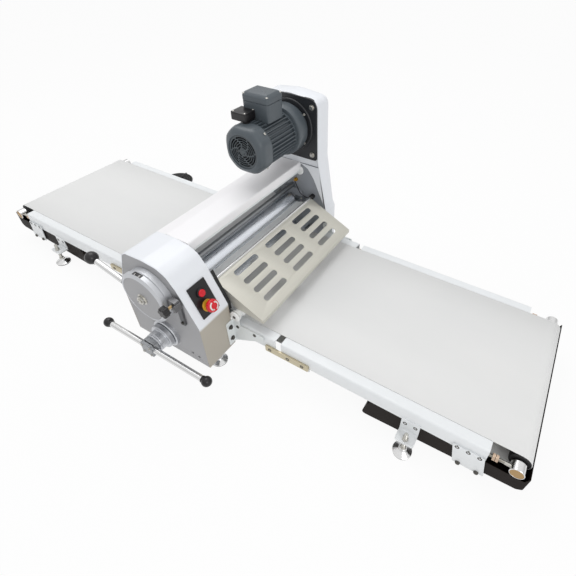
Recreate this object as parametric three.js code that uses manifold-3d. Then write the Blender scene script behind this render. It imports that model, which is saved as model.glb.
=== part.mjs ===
// Conveyor dough sheeter: a roller head between two belt tables, in millimetres.
// X runs along the belts, Y from the operator's side to the drive side, Z up from the bench.
import * as THREE from 'three';
import { mergeVertices } from 'three/addons/utils/BufferGeometryUtils.js';
import Module from 'manifold-3d';

const wasm = await Module();
wasm.setup();

// Fits shared by every piece
const seatGap = 0.3;
const runningGap = 0.3;
const cutOverrun = 3;
const barSides = 10;
const turnedSides = 16;
const spoolSides = 8;
const screwHeadHeight = 4;
const screwHeadRadius = 6;
const cutterDepth = 12;
const ballSides = 8;
const ballRings = 7;
const acrossX = 0;
const acrossY = 1;

// Belt and the table that carries it
const belt = { width: 500, thickness: 2, topHeight: 157 };
const rail = { width: 31, wall: 3, skirtDepth: 51, beltGap: 2 };
const bed = { thickness: 3.5, crossBarDepth: 23, crossBarThickness: 6 };
const stub = { start: 165, end: 322, bedStart: 100 };
const outer = { start: 343, railEnd: 970, bedEnd: 988 };
const outerCrossBarShares = [0.02, 0.35, 0.68, 0.95];
const stubCrossBarShares = [0.1, 0.75];

// Rollers inside and at the ends of the tables
const driveRoller = { radius: 20, journalRadius: 8, x: 74 };
const endRoller = { radius: 27, x: 1042, faceClearance: 2 };
const takeUp = { axleRadius: 9, blockRadius: 22, blockLength: 28, blockStandOff: 5 };
const tensionScrew = { radius: 5, length: 88, nutRadius: 10, nutLength: 7, nutStart: 10, nutSpacing: 8 };
const tensionNuts = 2;
const tensionTab = { width: 22, inset: 5, thickness: 4, below: 45 };

// The sheeting rollers
const rollerRadius = 45;
const rollerFaceLength = 516;
const lowerRoller = { z: 120, journalRadius: 15, nearReach: 320, farReach: 346 };
const upperRoller = { z: 255, journalRadius: 12, reach: 316 };
const bearing = { radius: 30, depth: 10 };

// The head: two side plates with covers over their outer sides
const head = {
  halfLength: 160, baseHeight: 60, topHeight: 428, plateFace: 298, plateThickness: 8,
  coverWall: 3, coverLip: 6, nearDepth: 114, farDepth: 67,
};
const housingOutlineShares = [
  [-1, 0], [1, 0], [1, 0.495], [0.644, 0.842], [0.481, 0.946], [0.275, 0.989],
  [-0.0625, 1], [-0.5, 0.986], [-0.619, 0.954], [-0.881, 0.671], [-1, 0.557],
];
const panelSlopeStart = 2;
const housingCornerRadius = 14;
const footPlate = { thickness: 6, margin: 5 };
const tie = { radius: 12, x: 130, z: 84 };
const topTieDrop = 32;
const topTie = { radius: 9, x: -40, z: head.topHeight - topTieDrop };

// The drive column that carries the motor
const columnRise = 256;
const columnDome = 12;
const flareRise = 27;
const splitDrop = 4;
const column = {
  middle: 8, halfWidth: 114, topHeight: head.topHeight + columnRise,
  sideHeight: head.topHeight + columnRise - columnDome, flareTop: head.topHeight + flareRise,
  shoulderHeight: 240, shoulderInset: 10, shoulderRise: 21, cornerRadius: 34,
};
const splitHeight = head.topHeight - splitDrop;
const columnTongueDepth = 34;

// Bridge over the rollers
const bridgeLeftDrop = 17;
const bridgeSkirtDrop = 78;
const bridgeRodDrop = 38;
const bridge = {
  wall: 2, edgeX: 44, crownX: -10, bendRun: 18, dip: 4, edgeDrop: 7,
  leftX: -99, leftHeight: head.topHeight - bridgeLeftDrop,
  skirtX: -116, skirtHeight: head.topHeight - bridgeSkirtDrop,
};
const bridgeRod = { radius: 6, x: 34, z: head.topHeight - bridgeRodDrop, ringRadius: 19, ringWidth: 9 };

// Slotted guards
const guard = {
  rodRadius: 5, x: 99, z: 297, tipX: 276, tipZ: 212, wall: 1.5, halfWidth: 273, lip: 12,
};
const guardSlot = {
  length: 112, width: 20, columnPitch: 161.6, columnOffset: 6.5, rowPitch: 41, firstRow: 30.5,
};
const guardSlotRows = 4;
const restSpool = { x: 180, z: 196, radius: 18, grooveRadius: 14, flange: 5, length: 24, pinRadius: 4 };

// Brackets that hang the stub rails on the head
const bracket = {
  thickness: 3, flangeLow: 70, flangeHigh: 172, flangeWidth: 20, reach: 122, offset: 4, spacerDepth: 12,
};
const bracketFootRise = 66;
const bracketTabHalfWidth = 12;
const bracketSpacerShares = [0.15, 0.9];

// Links on which the outer tables fold
const link = { pivotX: 304, z: 112, height: 24, thickness: 7, end: 445, tail: 17, pinRadius: 4, pinDepth: 6 };
const linkScrewXs = [371, 423];
const lug = { halfWidth: 15, depth: 14 };

// Feet
const foot = { discRadius: 28, discEdge: 4, coneHeight: 15, neckRadius: 10, stemRadius: 6 };
const footSideOffset = 346;
const headFootX = 128;
const footStemRise = 26;
const tableFoot = { x: 772, y: 311, bracketHalfLength: 27, flangeReach: 324, wallTop: 116 };
const endPlate = { start: 885, end: 968, low: 46, high: 124, offset: 3, lean: 14 };
const endPlateHold = { low: 109, high: 122 };

// Catch tray under each table end
const tray = {
  start: 640, end: 1075, innerLow: 30, outerLow: 57, slant: 15, wall: 1.5, floorWall: 3, sideClearance: 1,
  cornerRun: 14, cornerRise: 11, cornerLean: 2, lipHeight: 128, innerWallTop: 90, wallRun: 8,
  blockClearance: 4, innerRun: 30,
};

// Carriage of the upper roller, and the shaft that lifts it
const block = { halfWidth: 32, below: 35, above: 35, inner: 294, outer: 314, flange: 8, flangeThickness: 6 };
const liftRange = 44;
const leverTurn = 140;
const liftShaft = { radius: 10, z: 317, farReach: 333 };
const pinion = { teeth: 12, width: 14, inner: 316, toothShare: 0.36, addendumShare: 0.6 };
const toothTipShare = 0.7;
const rack = { depth: 14, top: 384, bottom: 236, spareTeeth: 1 };
const scraper = { thickness: 2, reach: 36, rise: 10, armWidth: 12, armLap: 24, armThickness: 12, drop: 14 };

// Thickness dial and lever
const dial = { ringRadius: 84, ringDepth: 20, radius: 86, depth: 19, gap: 1 };
const dialFace = { radius: 72, depth: 4 };
const lever = {
  angle: 166, ballReach: 216, ballRadius: 20, rodRadius: 6.5, gripRadius: 9.5, rodStart: 56, axisInDial: 8,
};
const dialNut = { radius: 15, length: 12 };

// Stop post with its lobed clamp knob
const stopPost = { x: 103, z: 333, radius: 12, length: 40, tailWidth: 16, tailLength: 98, tailDepth: 8 };
const knob = { radius: 18, lobeRadius: 5, lobes: 6, length: 20, studRadius: 4, studLength: 12 };

// Direction selector with its T bar
const selector = {
  z: 137, flangeRadius: 50, flangeDepth: 12, ringRadius: 42, ringDepth: 16, barrelRadius: 32,
  barrelDepth: 28, shaftRadius: 8, shaftReach: 336, camRadius: 22, camWidth: 10,
};
const tBar = { y: 484, radius: 9.5, leftReach: 190, rightReach: 230, ballRadius: 16 };
const tBarBlock = { halfWidth: 24, halfHeight: 22, depth: 24 };

// Control panel on the sloping side of the operator's cover
const panel = { length: 105, width: 66, thickness: 3, middle: 71, sideY: 353 };
const startButton = { offset: -20, radius: 11, bezelRadius: 15, bezelHeight: 7, proud: 2 };
const stopButton = { offset: 24, radius: 20, collarRadius: 16, collarHeight: 9, lift: 8, height: 15 };
const mushroomShares = [[0, 0], [0.8, 0], [1, 0.25], [1, 0.6], [0.7, 0.93], [0, 1]];
const plunger = { radius: 7, sleeveRadius: 11, sleeveLength: 30, length: 24 };

// Motor on the drive column
const motorDrop = 113;
const adaptorDrop = 232;
const motor = {
  x: column.middle, z: column.topHeight - motorDrop, bodyRadius: 78, finDepth: 10, fins: 20,
  bodyNear: 75, bodyFar: 215,
  bellRadius: 89, fanNear: 20, rearPlate: 9, cavityRadius: 41, shaftRadius: 10,
};
const finShares = [0, 0.55, 0.6, 0.95];
const adaptor = {
  thickness: 12, low: column.topHeight - adaptorDrop, boltRadius: 6, boltX: 91, boltRises: [-97, 78],
};
const fanCover = { wall: 2.5, halfWidth: 77, cornerShare: 0.55, roundShare: 0.25, faceInset: 6 };
const fanSlot = { count: 8, inner: 16, outer: 48, width: 8 };
const fan = { radius: 60, hubRadius: 18, blades: 7, bladeThickness: 3, near: 36, far: 62 };
const rotor = { radius: 40, near: 92, far: 205, reach: 344 };
const terminalBox = { left: -50, right: 53, near: 108, far: 190, lowRise: 69, topRise: 157, bevel: 8 };
const capacitorBox = { left: -60, right: 0, near: 60, lowRise: 80, topRise: 107 };
const glandBoss = { radius: 8, length: 14, rise: 129 };

// Belt drive from the motor down to the lower roller
const motorPulleyRadius = 23;
const rollerPulleyRadius = 46;
const pulleyWidth = 20;
const pulleyNear = 322;
const driveBeltThickness = 4;
const driveBeltWidth = 14;

// Power cord: gland, free stretches, coil and plug
const cord = { radius: 5, exitY: 338, exitZ: 92, sides: 8, stepDiameters: 2.5, endClearance: 15 };
const gland = { radius: 9, length: 22, nutRadius: 12, nutLength: 6 };
const coil = { x: -852, y: 410, outerRadius: 86, turnsPerLayer: 4, pitchDiameters: 1.07 };
const coilStartAngle = -45;
const coilEndAngle = -90;
const climbTurnShare = 0.25;
const coilStepsPerTurn = 24;
const coilSides = 6;
const plug = {
  length: 46, radius: 14, neckRadius: 8, neckLength: 12, pinRadius: 2.4, pinLength: 19, pinSpread: 9.5,
  lead: 20,
};

// Colours, roughness and metalness
const finishes = {
  whitePaint: [0xdedfe2, 0.42, 0.05],
  silverPaint: [0xa9acb0, 0.45, 0.35],
  greyPaint: [0x84878b, 0.5, 0.3],
  stainless: [0xb9b4aa, 0.35, 0.85],
  chrome: [0xc9ccd0, 0.15, 1],
  steel: [0x9a9c9e, 0.3, 0.9],
  beltWhite: [0xe9e9e8, 0.7, 0],
  blackPlastic: [0x16171a, 0.45, 0],
  trayBlack: [0x1e1916, 0.35, 0.1],
  motorGrey: [0x3f474b, 0.5, 0.2],
  motorBlack: [0x191b1e, 0.45, 0.2],
  rubber: [0x141414, 0.7, 0],
  nylon: [0xe6e6e2, 0.5, 0],
  red: [0xc4121a, 0.35, 0],
  aluminium: [0x8e9194, 0.4, 0.7],
};

const part = new THREE.Group();
part.name = 'conveyor_dough_sheeter';

// Adds one named piece to the part
function addPiece(name, geometry, finish) {
  const [color, roughness, metalness] = finishes[finish];
  const mesh = new THREE.Mesh(geometry, new THREE.MeshStandardMaterial({ color, roughness, metalness }));
  mesh.name = name;
  part.add(mesh);
}

// A solid made from a closed geometry, moved by a matrix where one is given
function solidOf(geometry, matrix) {
  const copy = geometry.clone();
  if (matrix) copy.applyMatrix4(matrix);
  copy.deleteAttribute('normal');
  copy.deleteAttribute('uv');
  const merged = mergeVertices(copy);
  return new wasm.Manifold(new wasm.Mesh({
    numProp: 3,
    vertProperties: new Float32Array(merged.attributes.position.array),
    triVerts: new Uint32Array(merged.index.array),
  }));
}

// The geometry of a solid
function geometryOf(solid) {
  const mesh = solid.getMesh();
  const geometry = new THREE.BufferGeometry();
  geometry.setAttribute('position', new THREE.BufferAttribute(new Float32Array(mesh.vertProperties), 3));
  geometry.setIndex(new THREE.BufferAttribute(new Uint32Array(mesh.triVerts), 1));
  geometry.computeVertexNormals();
  return geometry;
}

// One solid out of many
function joined(solids) {
  return solids.reduce((sum, solid) => sum.add(solid));
}

// A solid with others taken out of it
function cut(solid, cutters) {
  return cutters.reduce((rest, cutter) => rest.subtract(cutter), solid);
}

// A geometry seen in a mirror across a middle plane; axis 0 is X and axis 1 is Y
function mirroredGeometry(geometry, axis) {
  const copy = geometry.clone();
  const position = copy.attributes.position;
  for (let i = 0; i < position.count; i += 1) position.setComponent(i, axis, -position.getComponent(i, axis));
  const index = copy.index.array;
  for (let i = 0; i < index.length; i += 3) [index[i], index[i + 1]] = [index[i + 1], index[i]];
  copy.computeVertexNormals();
  return copy;
}

// The corner radius of a bore whose flats clear a round bar by the running gap
function boreRadius(radius, sides = barSides) {
  return (radius + runningGap) / Math.cos(Math.PI / sides);
}

// A box between two corners
function slab(xLow, xHigh, yLow, yHigh, zLow, zHigh) {
  const box = new THREE.BoxGeometry(xHigh - xLow, yHigh - yLow, zHigh - zLow);
  box.translate((xLow + xHigh) / 2, (yLow + yHigh) / 2, (zLow + zHigh) / 2);
  return solidOf(box);
}

// A box that is the same on the operator's side and on the drive side
function sideSlabs(xLow, xHigh, yInner, yOuter, zLow, zHigh) {
  return [slab(xLow, xHigh, yInner, yOuter, zLow, zHigh), slab(xLow, xHigh, -yOuter, -yInner, zLow, zHigh)];
}

// A round bar along Y
function barY(radius, yLow, yHigh, x, z, sides = barSides) {
  const cylinder = new THREE.CylinderGeometry(radius, radius, yHigh - yLow, sides);
  cylinder.translate(x, (yLow + yHigh) / 2, z);
  return solidOf(cylinder);
}

// The same round bar on both sides of the belt
function sideBars(radius, yInner, yOuter, x, z, sides = barSides) {
  return [barY(radius, yInner, yOuter, x, z, sides), barY(radius, -yOuter, -yInner, x, z, sides)];
}

// A round bar along X
function barX(radius, xLow, xHigh, y, z, sides = barSides) {
  const cylinder = new THREE.CylinderGeometry(radius, radius, xHigh - xLow, sides);
  cylinder.rotateZ(-Math.PI / 2);
  cylinder.translate((xLow + xHigh) / 2, y, z);
  return solidOf(cylinder);
}

// A round bar along Z
function barZ(radius, zLow, zHigh, x, y, sides = barSides) {
  const cylinder = new THREE.CylinderGeometry(radius, radius, zHigh - zLow, sides);
  cylinder.rotateX(Math.PI / 2);
  cylinder.translate(x, y, (zLow + zHigh) / 2);
  return solidOf(cylinder);
}

// A body turned about an axis along Y from a closed profile of [radius, y]
function turnedY(profile, x, z, sides = turnedSides) {
  const lathe = new THREE.LatheGeometry(profile.map(([r, y]) => new THREE.Vector2(r, y)), sides);
  lathe.translate(x, 0, z);
  return solidOf(lathe);
}

// A body with an outline of [x, z] points, between two values of Y
function profileY(points, yLow, yHigh) {
  const shape = new THREE.Shape(points.map(([x, z]) => new THREE.Vector2(x, z)));
  const geometry = new THREE.ExtrudeGeometry(shape, { depth: yHigh - yLow, bevelEnabled: false });
  geometry.rotateX(Math.PI / 2);
  geometry.translate(0, yHigh, 0);
  return solidOf(geometry);
}

// An outline with its corners rounded by arcs; a corner with no radius stays sharp
function roundedOutline(corners, steps = 4) {
  const points = [];
  const count = corners.length;
  corners.forEach(([x, z, radius], i) => {
    const here = new THREE.Vector2(x, z);
    if (!radius) {
      points.push([x, z]);
      return;
    }
    const before = new THREE.Vector2(...corners[(i + count - 1) % count].slice(0, 2)).sub(here);
    const after = new THREE.Vector2(...corners[(i + 1) % count].slice(0, 2)).sub(here);
    const half = Math.acos(before.clone().normalize().dot(after.clone().normalize())) / 2;
    const run = Math.min(radius / Math.tan(half), before.length() / 2, after.length() / 2);
    const start = here.clone().addScaledVector(before.normalize(), run);
    const end = here.clone().addScaledVector(after.normalize(), run);
    const arc = new THREE.QuadraticBezierCurve(start, here, end);
    arc.getPoints(steps).forEach((point) => points.push([point.x, point.y]));
  });
  return points;
}

// An outline moved inwards by the same distance along every edge; it runs anticlockwise
function insetOutline(points, distance) {
  const count = points.length;
  return points.map(([x, z], i) => {
    const [bx, bz] = points[(i + count - 1) % count];
    const [ax, az] = points[(i + 1) % count];
    const first = new THREE.Vector2(x - bx, z - bz).normalize();
    const second = new THREE.Vector2(ax - x, az - z).normalize();
    const normals = [new THREE.Vector2(-first.y, first.x), new THREE.Vector2(-second.y, second.x)];
    const bisector = normals[0].clone().add(normals[1]).normalize();
    const reach = distance / bisector.dot(normals[0]);
    return [x + bisector.x * reach, z + bisector.y * reach];
  });
}

// A bent sheet: a path of [x, z] points with a wall on its right-hand side
function sheetProfile(path, wall) {
  const inner = path.map(([x, z], i) => {
    const [bx, bz] = path[Math.max(i - 1, 0)];
    const [ax, az] = path[Math.min(i + 1, path.length - 1)];
    const before = new THREE.Vector2(x - bx, z - bz);
    const after = new THREE.Vector2(ax - x, az - z);
    const first = (i === 0 ? after : before).normalize();
    const second = (i === path.length - 1 ? first : after).normalize();
    const normals = [new THREE.Vector2(first.y, -first.x), new THREE.Vector2(second.y, -second.x)];
    const bisector = normals[0].clone().add(normals[1]).normalize();
    const reach = wall / bisector.dot(normals[0]);
    return [x + bisector.x * reach, z + bisector.y * reach];
  });
  return [...path, ...inner.reverse()];
}

// Heights and sides that many pieces share
const beltHalf = belt.width / 2;
const railInner = beltHalf + rail.beltGap;
const railOuter = beltHalf + rail.beltGap + rail.width;
const skirtLow = belt.topHeight - rail.skirtDepth;
const bedTop = belt.topHeight - belt.thickness - seatGap;
const bedLow = bedTop - bed.thickness;
const plateBack = head.plateFace + head.plateThickness;
const coverEdge = head.plateFace - head.coverLip;
const nearFace = head.plateFace + head.nearDepth;
const farFace = head.plateFace + head.farDepth;
const footPlateTop = head.baseHeight + footPlate.thickness;
const pitchRadius = liftRange / THREE.MathUtils.degToRad(leverTurn);

// Outlines of the two housings in X and Z
const housingHeight = head.topHeight - head.baseHeight;
const nearCorners = housingOutlineShares.map(([xShare, zShare]) => [
  xShare * head.halfLength, head.baseHeight + zShare * housingHeight,
]);
const nearRadii = nearCorners.map(([x, z], i) => [x, z, i < panelSlopeStart ? 0 : housingCornerRadius]);
const nearOutline = roundedOutline(nearRadii, 1);
const columnRight = column.middle + column.halfWidth;
const columnLeft = column.middle - column.halfWidth;
const shoulderTop = column.shoulderHeight + column.shoulderRise;
const farOutline = roundedOutline([
  [-head.halfLength, head.baseHeight, 0],
  [head.halfLength, head.baseHeight, 0],
  [head.halfLength, column.shoulderHeight, housingCornerRadius],
  [head.halfLength - column.shoulderInset, shoulderTop, housingCornerRadius],
  [columnRight, column.flareTop, column.cornerRadius],
  [columnRight, column.sideHeight, column.cornerRadius],
  [column.middle, column.topHeight, column.halfWidth],
  [columnLeft, column.sideHeight, column.cornerRadius],
  [columnLeft, column.flareTop, column.cornerRadius],
  [-head.halfLength + column.shoulderInset, shoulderTop, housingCornerRadius],
  [-head.halfLength, column.shoulderHeight, housingCornerRadius],
], 2);
const plateInset = head.coverWall + seatGap;

// Clears everything below a cover's open bottom edge
function openBottom(yLow, yHigh) {
  const reach = head.halfLength - head.coverWall;
  return slab(-reach, reach, yLow, yHigh, head.baseHeight - cutOverrun, footPlateTop);
}

// The welded head frame: side plates, foot plates, tie bars and bearing flanges
function headFrame() {
  const reach = head.halfLength - plateInset - footPlate.margin;
  const footNear = nearFace - plateInset - footPlate.margin;
  const footFar = farFace - plateInset - footPlate.margin;
  const nearPlate = profileY(insetOutline(nearOutline, plateInset), -plateBack, -head.plateFace);
  const farPlate = profileY(insetOutline(farOutline, plateInset), head.plateFace, plateBack)
    .intersect(slab(-head.halfLength, head.halfLength, 0, farFace, 0, splitHeight));
  const flanges = [
    ...sideBars(bearing.radius, head.plateFace, plateBack + bearing.depth, 0, lowerRoller.z),
    ...[-1, 1].flatMap((side) => sideBars(driveRoller.radius, head.plateFace, plateBack + bearing.depth,
      side * driveRoller.x, belt.topHeight - belt.thickness - driveRoller.radius)),
    ...sideBars(liftShaft.radius + bearing.depth / 2, head.plateFace,
      pinion.inner - seatGap, 0, liftShaft.z),
  ];
  const bars = [
    ...[-1, 1].map((side) => barY(tie.radius, -head.plateFace - seatGap, head.plateFace + seatGap,
      side * tie.x, tie.z)),
    barY(topTie.radius, -head.plateFace - seatGap, head.plateFace + seatGap, topTie.x, topTie.z),
  ];
  const frame = joined([
    nearPlate, farPlate, ...flanges, ...bars,
    slab(-reach, reach, -footNear, -head.plateFace, head.baseHeight, footPlateTop),
    slab(-reach, reach, head.plateFace, footFar, head.baseHeight, footPlateTop),
  ]);
  const blockLow = upperRoller.z - block.below - liftRange;
  const blockHigh = upperRoller.z + block.above;
  const windowHalf = block.halfWidth + runningGap;
  const bores = [
    barY(boreRadius(lowerRoller.journalRadius), -nearFace, nearFace, 0, lowerRoller.z),
    barY(boreRadius(liftShaft.radius), -nearFace, nearFace, 0, liftShaft.z),
    barY(boreRadius(bridgeRod.radius), -nearFace, nearFace, bridgeRod.x, bridgeRod.z),
    slab(-windowHalf, windowHalf, -nearFace, nearFace, blockLow - runningGap, blockHigh + runningGap),
    ...[-1, 1].map((side) => barY(boreRadius(driveRoller.journalRadius), -nearFace, nearFace,
      side * driveRoller.x, belt.topHeight - belt.thickness - driveRoller.radius)),
    ...[-1, 1].map((side) => barY(boreRadius(guard.rodRadius), -nearFace, nearFace, side * guard.x, guard.z)),
    ...[-1, 1].flatMap((side) => [-1, 1].map((row) => barZ(boreRadius(foot.stemRadius),
      head.baseHeight - cutOverrun, footPlateTop + cutOverrun, side * headFootX, row * footSideOffset))),
  ];
  return geometryOf(cut(frame, bores));
}

// A frame that lies in the sloping side of the operator's cover, its Z pointing outwards
function slopeMatrix() {
  const [topX, topZ] = nearCorners[panelSlopeStart + 1];
  const [lowX, lowZ] = nearCorners[panelSlopeStart];
  const down = new THREE.Vector3(lowX - topX, 0, lowZ - topZ).normalize();
  const out = new THREE.Vector3(-down.z, 0, down.x);
  const across = new THREE.Vector3().crossVectors(out, down);
  const place = new THREE.Vector3(topX, -panel.sideY, topZ).addScaledVector(down, panel.middle);
  return new THREE.Matrix4().makeBasis(down, across, out).setPosition(place);
}

// A round bar that stands on the sloping side, between two heights along its normal
function slopeBar(radius, low, high, offset, sides = barSides) {
  const cylinder = new THREE.CylinderGeometry(radius, radius, high - low, sides);
  cylinder.rotateX(Math.PI / 2);
  cylinder.translate(offset, 0, (low + high) / 2);
  return solidOf(cylinder, slopeMatrix());
}

// The bent cover over the operator's side of the head
function nearCover() {
  const shell = profileY(nearOutline, -nearFace, -coverEdge);
  const inside = profileY(insetOutline(nearOutline, head.coverWall), -nearFace - cutOverrun,
    -coverEdge + cutOverrun);
  const sleeves = [startButton, stopButton].map((button) => slopeBar(
    boreRadius(plunger.sleeveRadius), -plunger.sleeveLength, cutOverrun, button.offset));
  const below = openBottom(-nearFace - cutOverrun, -coverEdge + cutOverrun);
  return geometryOf(cut(shell, [inside, below, ...sleeves]));
}

// The flat plate that carries the dial and the selector, with the selector's fixed flange
function nearFacePlate() {
  const plate = profileY(insetOutline(nearOutline, plateInset), -nearFace, -nearFace + head.coverWall);
  const flange = barY(selector.flangeRadius, -nearFace - selector.flangeDepth, -nearFace + seatGap,
    0, selector.z, 20);
  const bores = [
    barY(boreRadius(liftShaft.radius), -nearFace - cutOverrun, -coverEdge, 0, liftShaft.z),
    barY(boreRadius(selector.shaftRadius), -nearFace - selector.flangeDepth - cutOverrun, -coverEdge,
      0, selector.z),
  ];
  return geometryOf(cut(plate.add(flange), bores));
}

// The cover over the drive side, with the column that reaches up behind the motor
function farCover() {
  const shell = profileY(farOutline, coverEdge, farFace);
  const inside = profileY(insetOutline(farOutline, head.coverWall), coverEdge - cutOverrun,
    farFace - head.coverWall);
  return geometryOf(cut(shell, [inside, openBottom(coverEdge - cutOverrun, farFace - head.coverWall)]));
}

// The plate behind the motor, with a tongue that laps the back of the frame's side plate
function columnPlate() {
  const outline = insetOutline(farOutline, plateInset);
  const back = plateBack + seatGap;
  const plate = profileY(outline, head.plateFace, back + cutOverrun)
    .intersect(slab(-head.halfLength, head.halfLength, head.plateFace, back,
      splitHeight + seatGap, column.topHeight));
  const tongue = profileY(outline, back - seatGap / 2, back + head.plateThickness)
    .intersect(slab(columnLeft, columnRight, back, back + head.plateThickness,
      splitHeight - columnTongueDepth, splitHeight + columnTongueDepth));
  const lap = profileY(outline, back - head.plateThickness / 2, back + head.plateThickness / 2)
    .intersect(slab(columnLeft, columnRight, head.plateFace, farFace,
      splitHeight + seatGap, splitHeight + columnTongueDepth));
  const bore = barY(boreRadius(motor.shaftRadius), coverEdge, farFace, motor.x, motor.z);
  return geometryOf(cut(joined([plate, tongue, lap]), [bore]));
}

// The bridge over the rollers: one bent sheet between the two covers
function bridgeCover() {
  const top = head.topHeight;
  const path = [
    [bridge.edgeX, bridgeRod.z + bridgeRod.radius + seatGap + bridge.wall],
    [bridge.edgeX, top - bridge.edgeDrop],
    [bridge.edgeX - bridgeRod.radius, top - bridge.wall],
    [bridge.crownX, top],
    [bridge.leftX + bridge.bendRun, top - bridge.dip],
    [bridge.leftX, bridge.leftHeight],
    [bridge.skirtX, bridge.skirtHeight],
  ];
  const half = coverEdge - seatGap;
  return geometryOf(profileY(sheetProfile(path.reverse(), bridge.wall), -half, half));
}

// The bright rod along the bridge's edge, with a ring at each end
function bridgeEdgeRod() {
  const reach = plateBack - seatGap;
  const ringOuter = head.plateFace - seatGap;
  return geometryOf(joined([
    barY(bridgeRod.radius, -reach, reach, bridgeRod.x, bridgeRod.z, 16),
    ...sideBars(bridgeRod.ringRadius, ringOuter - bridgeRod.ringWidth, ringOuter, bridgeRod.x, bridgeRod.z),
  ]).subtract(bridgeRingRelief()));
}

// Keeps the rod's rings clear of the bridge sheet above them
function bridgeRingRelief() {
  const low = bridgeRod.z + bridgeRod.radius;
  const reach = bridgeRod.ringRadius + cutOverrun;
  return slab(bridgeRod.x - reach, bridge.edgeX + reach, -nearFace, nearFace, low, low + reach);
}

// A roller with a journal at each end: face radius, face half length, journal radius and reach
function rollerGeometry(radius, half, journal, reach, x, z) {
  const profile = [
    [0, -reach], [journal, -reach], [journal, -half], [radius, -half],
    [radius, half], [journal, half], [journal, reach], [0, reach],
  ];
  return geometryOf(turnedY(profile, x, z));
}

// A gear tooth outline in polar form: teeth with straight flanks between root and tip
function toothedOutline(count, pitch, addendum, toothShare) {
  const points = [];
  const step = (2 * Math.PI) / count;
  for (let i = 0; i < count; i += 1) {
    const middle = i * step + step / 2;
    [[-1, -1], [-toothTipShare, 1], [toothTipShare, 1], [1, -1]].forEach(([side, level]) => {
      const angle = middle + (side * toothShare * step) / 2;
      const radius = pitch + level * addendum;
      points.push([radius * Math.cos(angle), radius * Math.sin(angle)]);
    });
  }
  return points;
}

// The rack on a bearing block: the pinion's teeth unrolled along Z
function rackOutline() {
  const pitch = (2 * Math.PI * pitchRadius) / pinion.teeth;
  const addendum = (pinion.addendumShare * pitch) / Math.PI;
  const half = (pinion.toothShare * pitch) / 2;
  const root = pitchRadius + addendum + runningGap;
  const back = root + rack.depth;
  const points = [[back, rack.bottom], [back, rack.top], [root, rack.top]];
  const above = Math.floor((rack.top - liftShaft.z) / pitch - 1);
  for (let i = above; i >= -rack.spareTeeth; i -= 1) {
    const middle = liftShaft.z + i * pitch;
    const tip = pitchRadius - addendum + runningGap;
    points.push([root, middle + half], [tip, middle + half * toothTipShare]);
    points.push([tip, middle - half * toothTipShare], [root, middle - half]);
  }
  points.push([root, rack.bottom]);
  return points;
}

// The shaft that turns with the dial and lifts both bearing blocks by its pinions
function liftShaftGeometry() {
  const dialFront = nearFace + dial.ringDepth + dial.gap + dial.depth;
  const pitch = (2 * Math.PI * pitchRadius) / pinion.teeth;
  const addendum = (pinion.addendumShare * pitch) / Math.PI;
  const outline = toothedOutline(pinion.teeth, pitchRadius, addendum, pinion.toothShare)
    .map(([x, z]) => [x, z + liftShaft.z]);
  const pinions = [
    profileY(outline, pinion.inner, pinion.inner + pinion.width),
    profileY(outline, -pinion.inner - pinion.width, -pinion.inner),
  ];
  const nutNear = -dialFront - seatGap - dialNut.length;
  return geometryOf(joined([
    barY(liftShaft.radius, nutNear, liftShaft.farReach, 0, liftShaft.z),
    barY(dialNut.radius, nutNear, -dialFront - seatGap, 0, liftShaft.z, 6),
    ...pinions,
  ]));
}

// A bearing block of the upper roller with its rack, on the operator's side
function carriageGeometry(side) {
  const low = upperRoller.z - block.below;
  const high = upperRoller.z + block.above;
  const flangeNear = plateBack + runningGap;
  const solids = [
    slab(-block.halfWidth, block.halfWidth, block.inner, block.outer, low, high),
    slab(-block.halfWidth - block.flange, block.halfWidth + block.flange,
      flangeNear, flangeNear + block.flangeThickness, low - block.flange, high),
    profileY(rackOutline(), flangeNear + block.flangeThickness / 2, pinion.inner + pinion.width),
  ];
  const shaftRelief = barY(pitchRadius + pinion.width / 2, pinion.inner - seatGap - cutOverrun,
    pinion.inner + pinion.width + cutOverrun, 0, liftShaft.z);
  const shaftSweep = slab(-liftShaft.radius - bearing.depth, liftShaft.radius + bearing.depth, block.inner,
    pinion.inner, high + seatGap, liftShaft.z + liftRange + pitchRadius);
  const journal = barY(boreRadius(upperRoller.journalRadius), 0, nearFace, 0, upperRoller.z);
  const rackOnly = shaftRelief.intersect(slab(-nearFace, 0, 0, nearFace, 0, head.topHeight));
  const geometry = geometryOf(cut(joined(solids), [journal, rackOnly, shaftSweep]));
  return side > 0 ? geometry : mirroredGeometry(geometry, acrossY);
}

// A scraper along the upper roller, carried by an arm on each bearing block
function scraperGeometry() {
  const touch = rollerRadius + seatGap;
  const edgeZ = upperRoller.z + scraper.drop;
  const edgeX = Math.sqrt(touch * touch - scraper.drop * scraper.drop) + seatGap;
  const blade = profileY([
    [edgeX, edgeZ], [edgeX + scraper.reach, edgeZ + scraper.rise],
    [edgeX + scraper.reach, edgeZ + scraper.rise + scraper.thickness],
    [edgeX, edgeZ + scraper.thickness],
  ], -rollerFaceLength / 2, rollerFaceLength / 2);
  const armLow = edgeZ - scraper.thickness;
  const armInner = rollerFaceLength / 2 - scraper.thickness;
  const armStart = block.halfWidth - scraper.armThickness;
  const arms = [
    ...sideSlabs(armStart, edgeX + scraper.reach / 2, armInner + scraper.armWidth,
      block.inner - seatGap, armLow, armLow + scraper.armThickness),
    ...sideSlabs(edgeX + scraper.thickness, edgeX + scraper.reach / 2, armInner,
      armInner + scraper.armLap, armLow, armLow + scraper.armThickness),
  ];
  return geometryOf(joined([blade, ...arms]));
}

// Operator's side controls
const ringFront = nearFace + dial.ringDepth;
const dialBack = ringFront + dial.gap;
const dialFront = dialBack + dial.depth;

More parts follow.
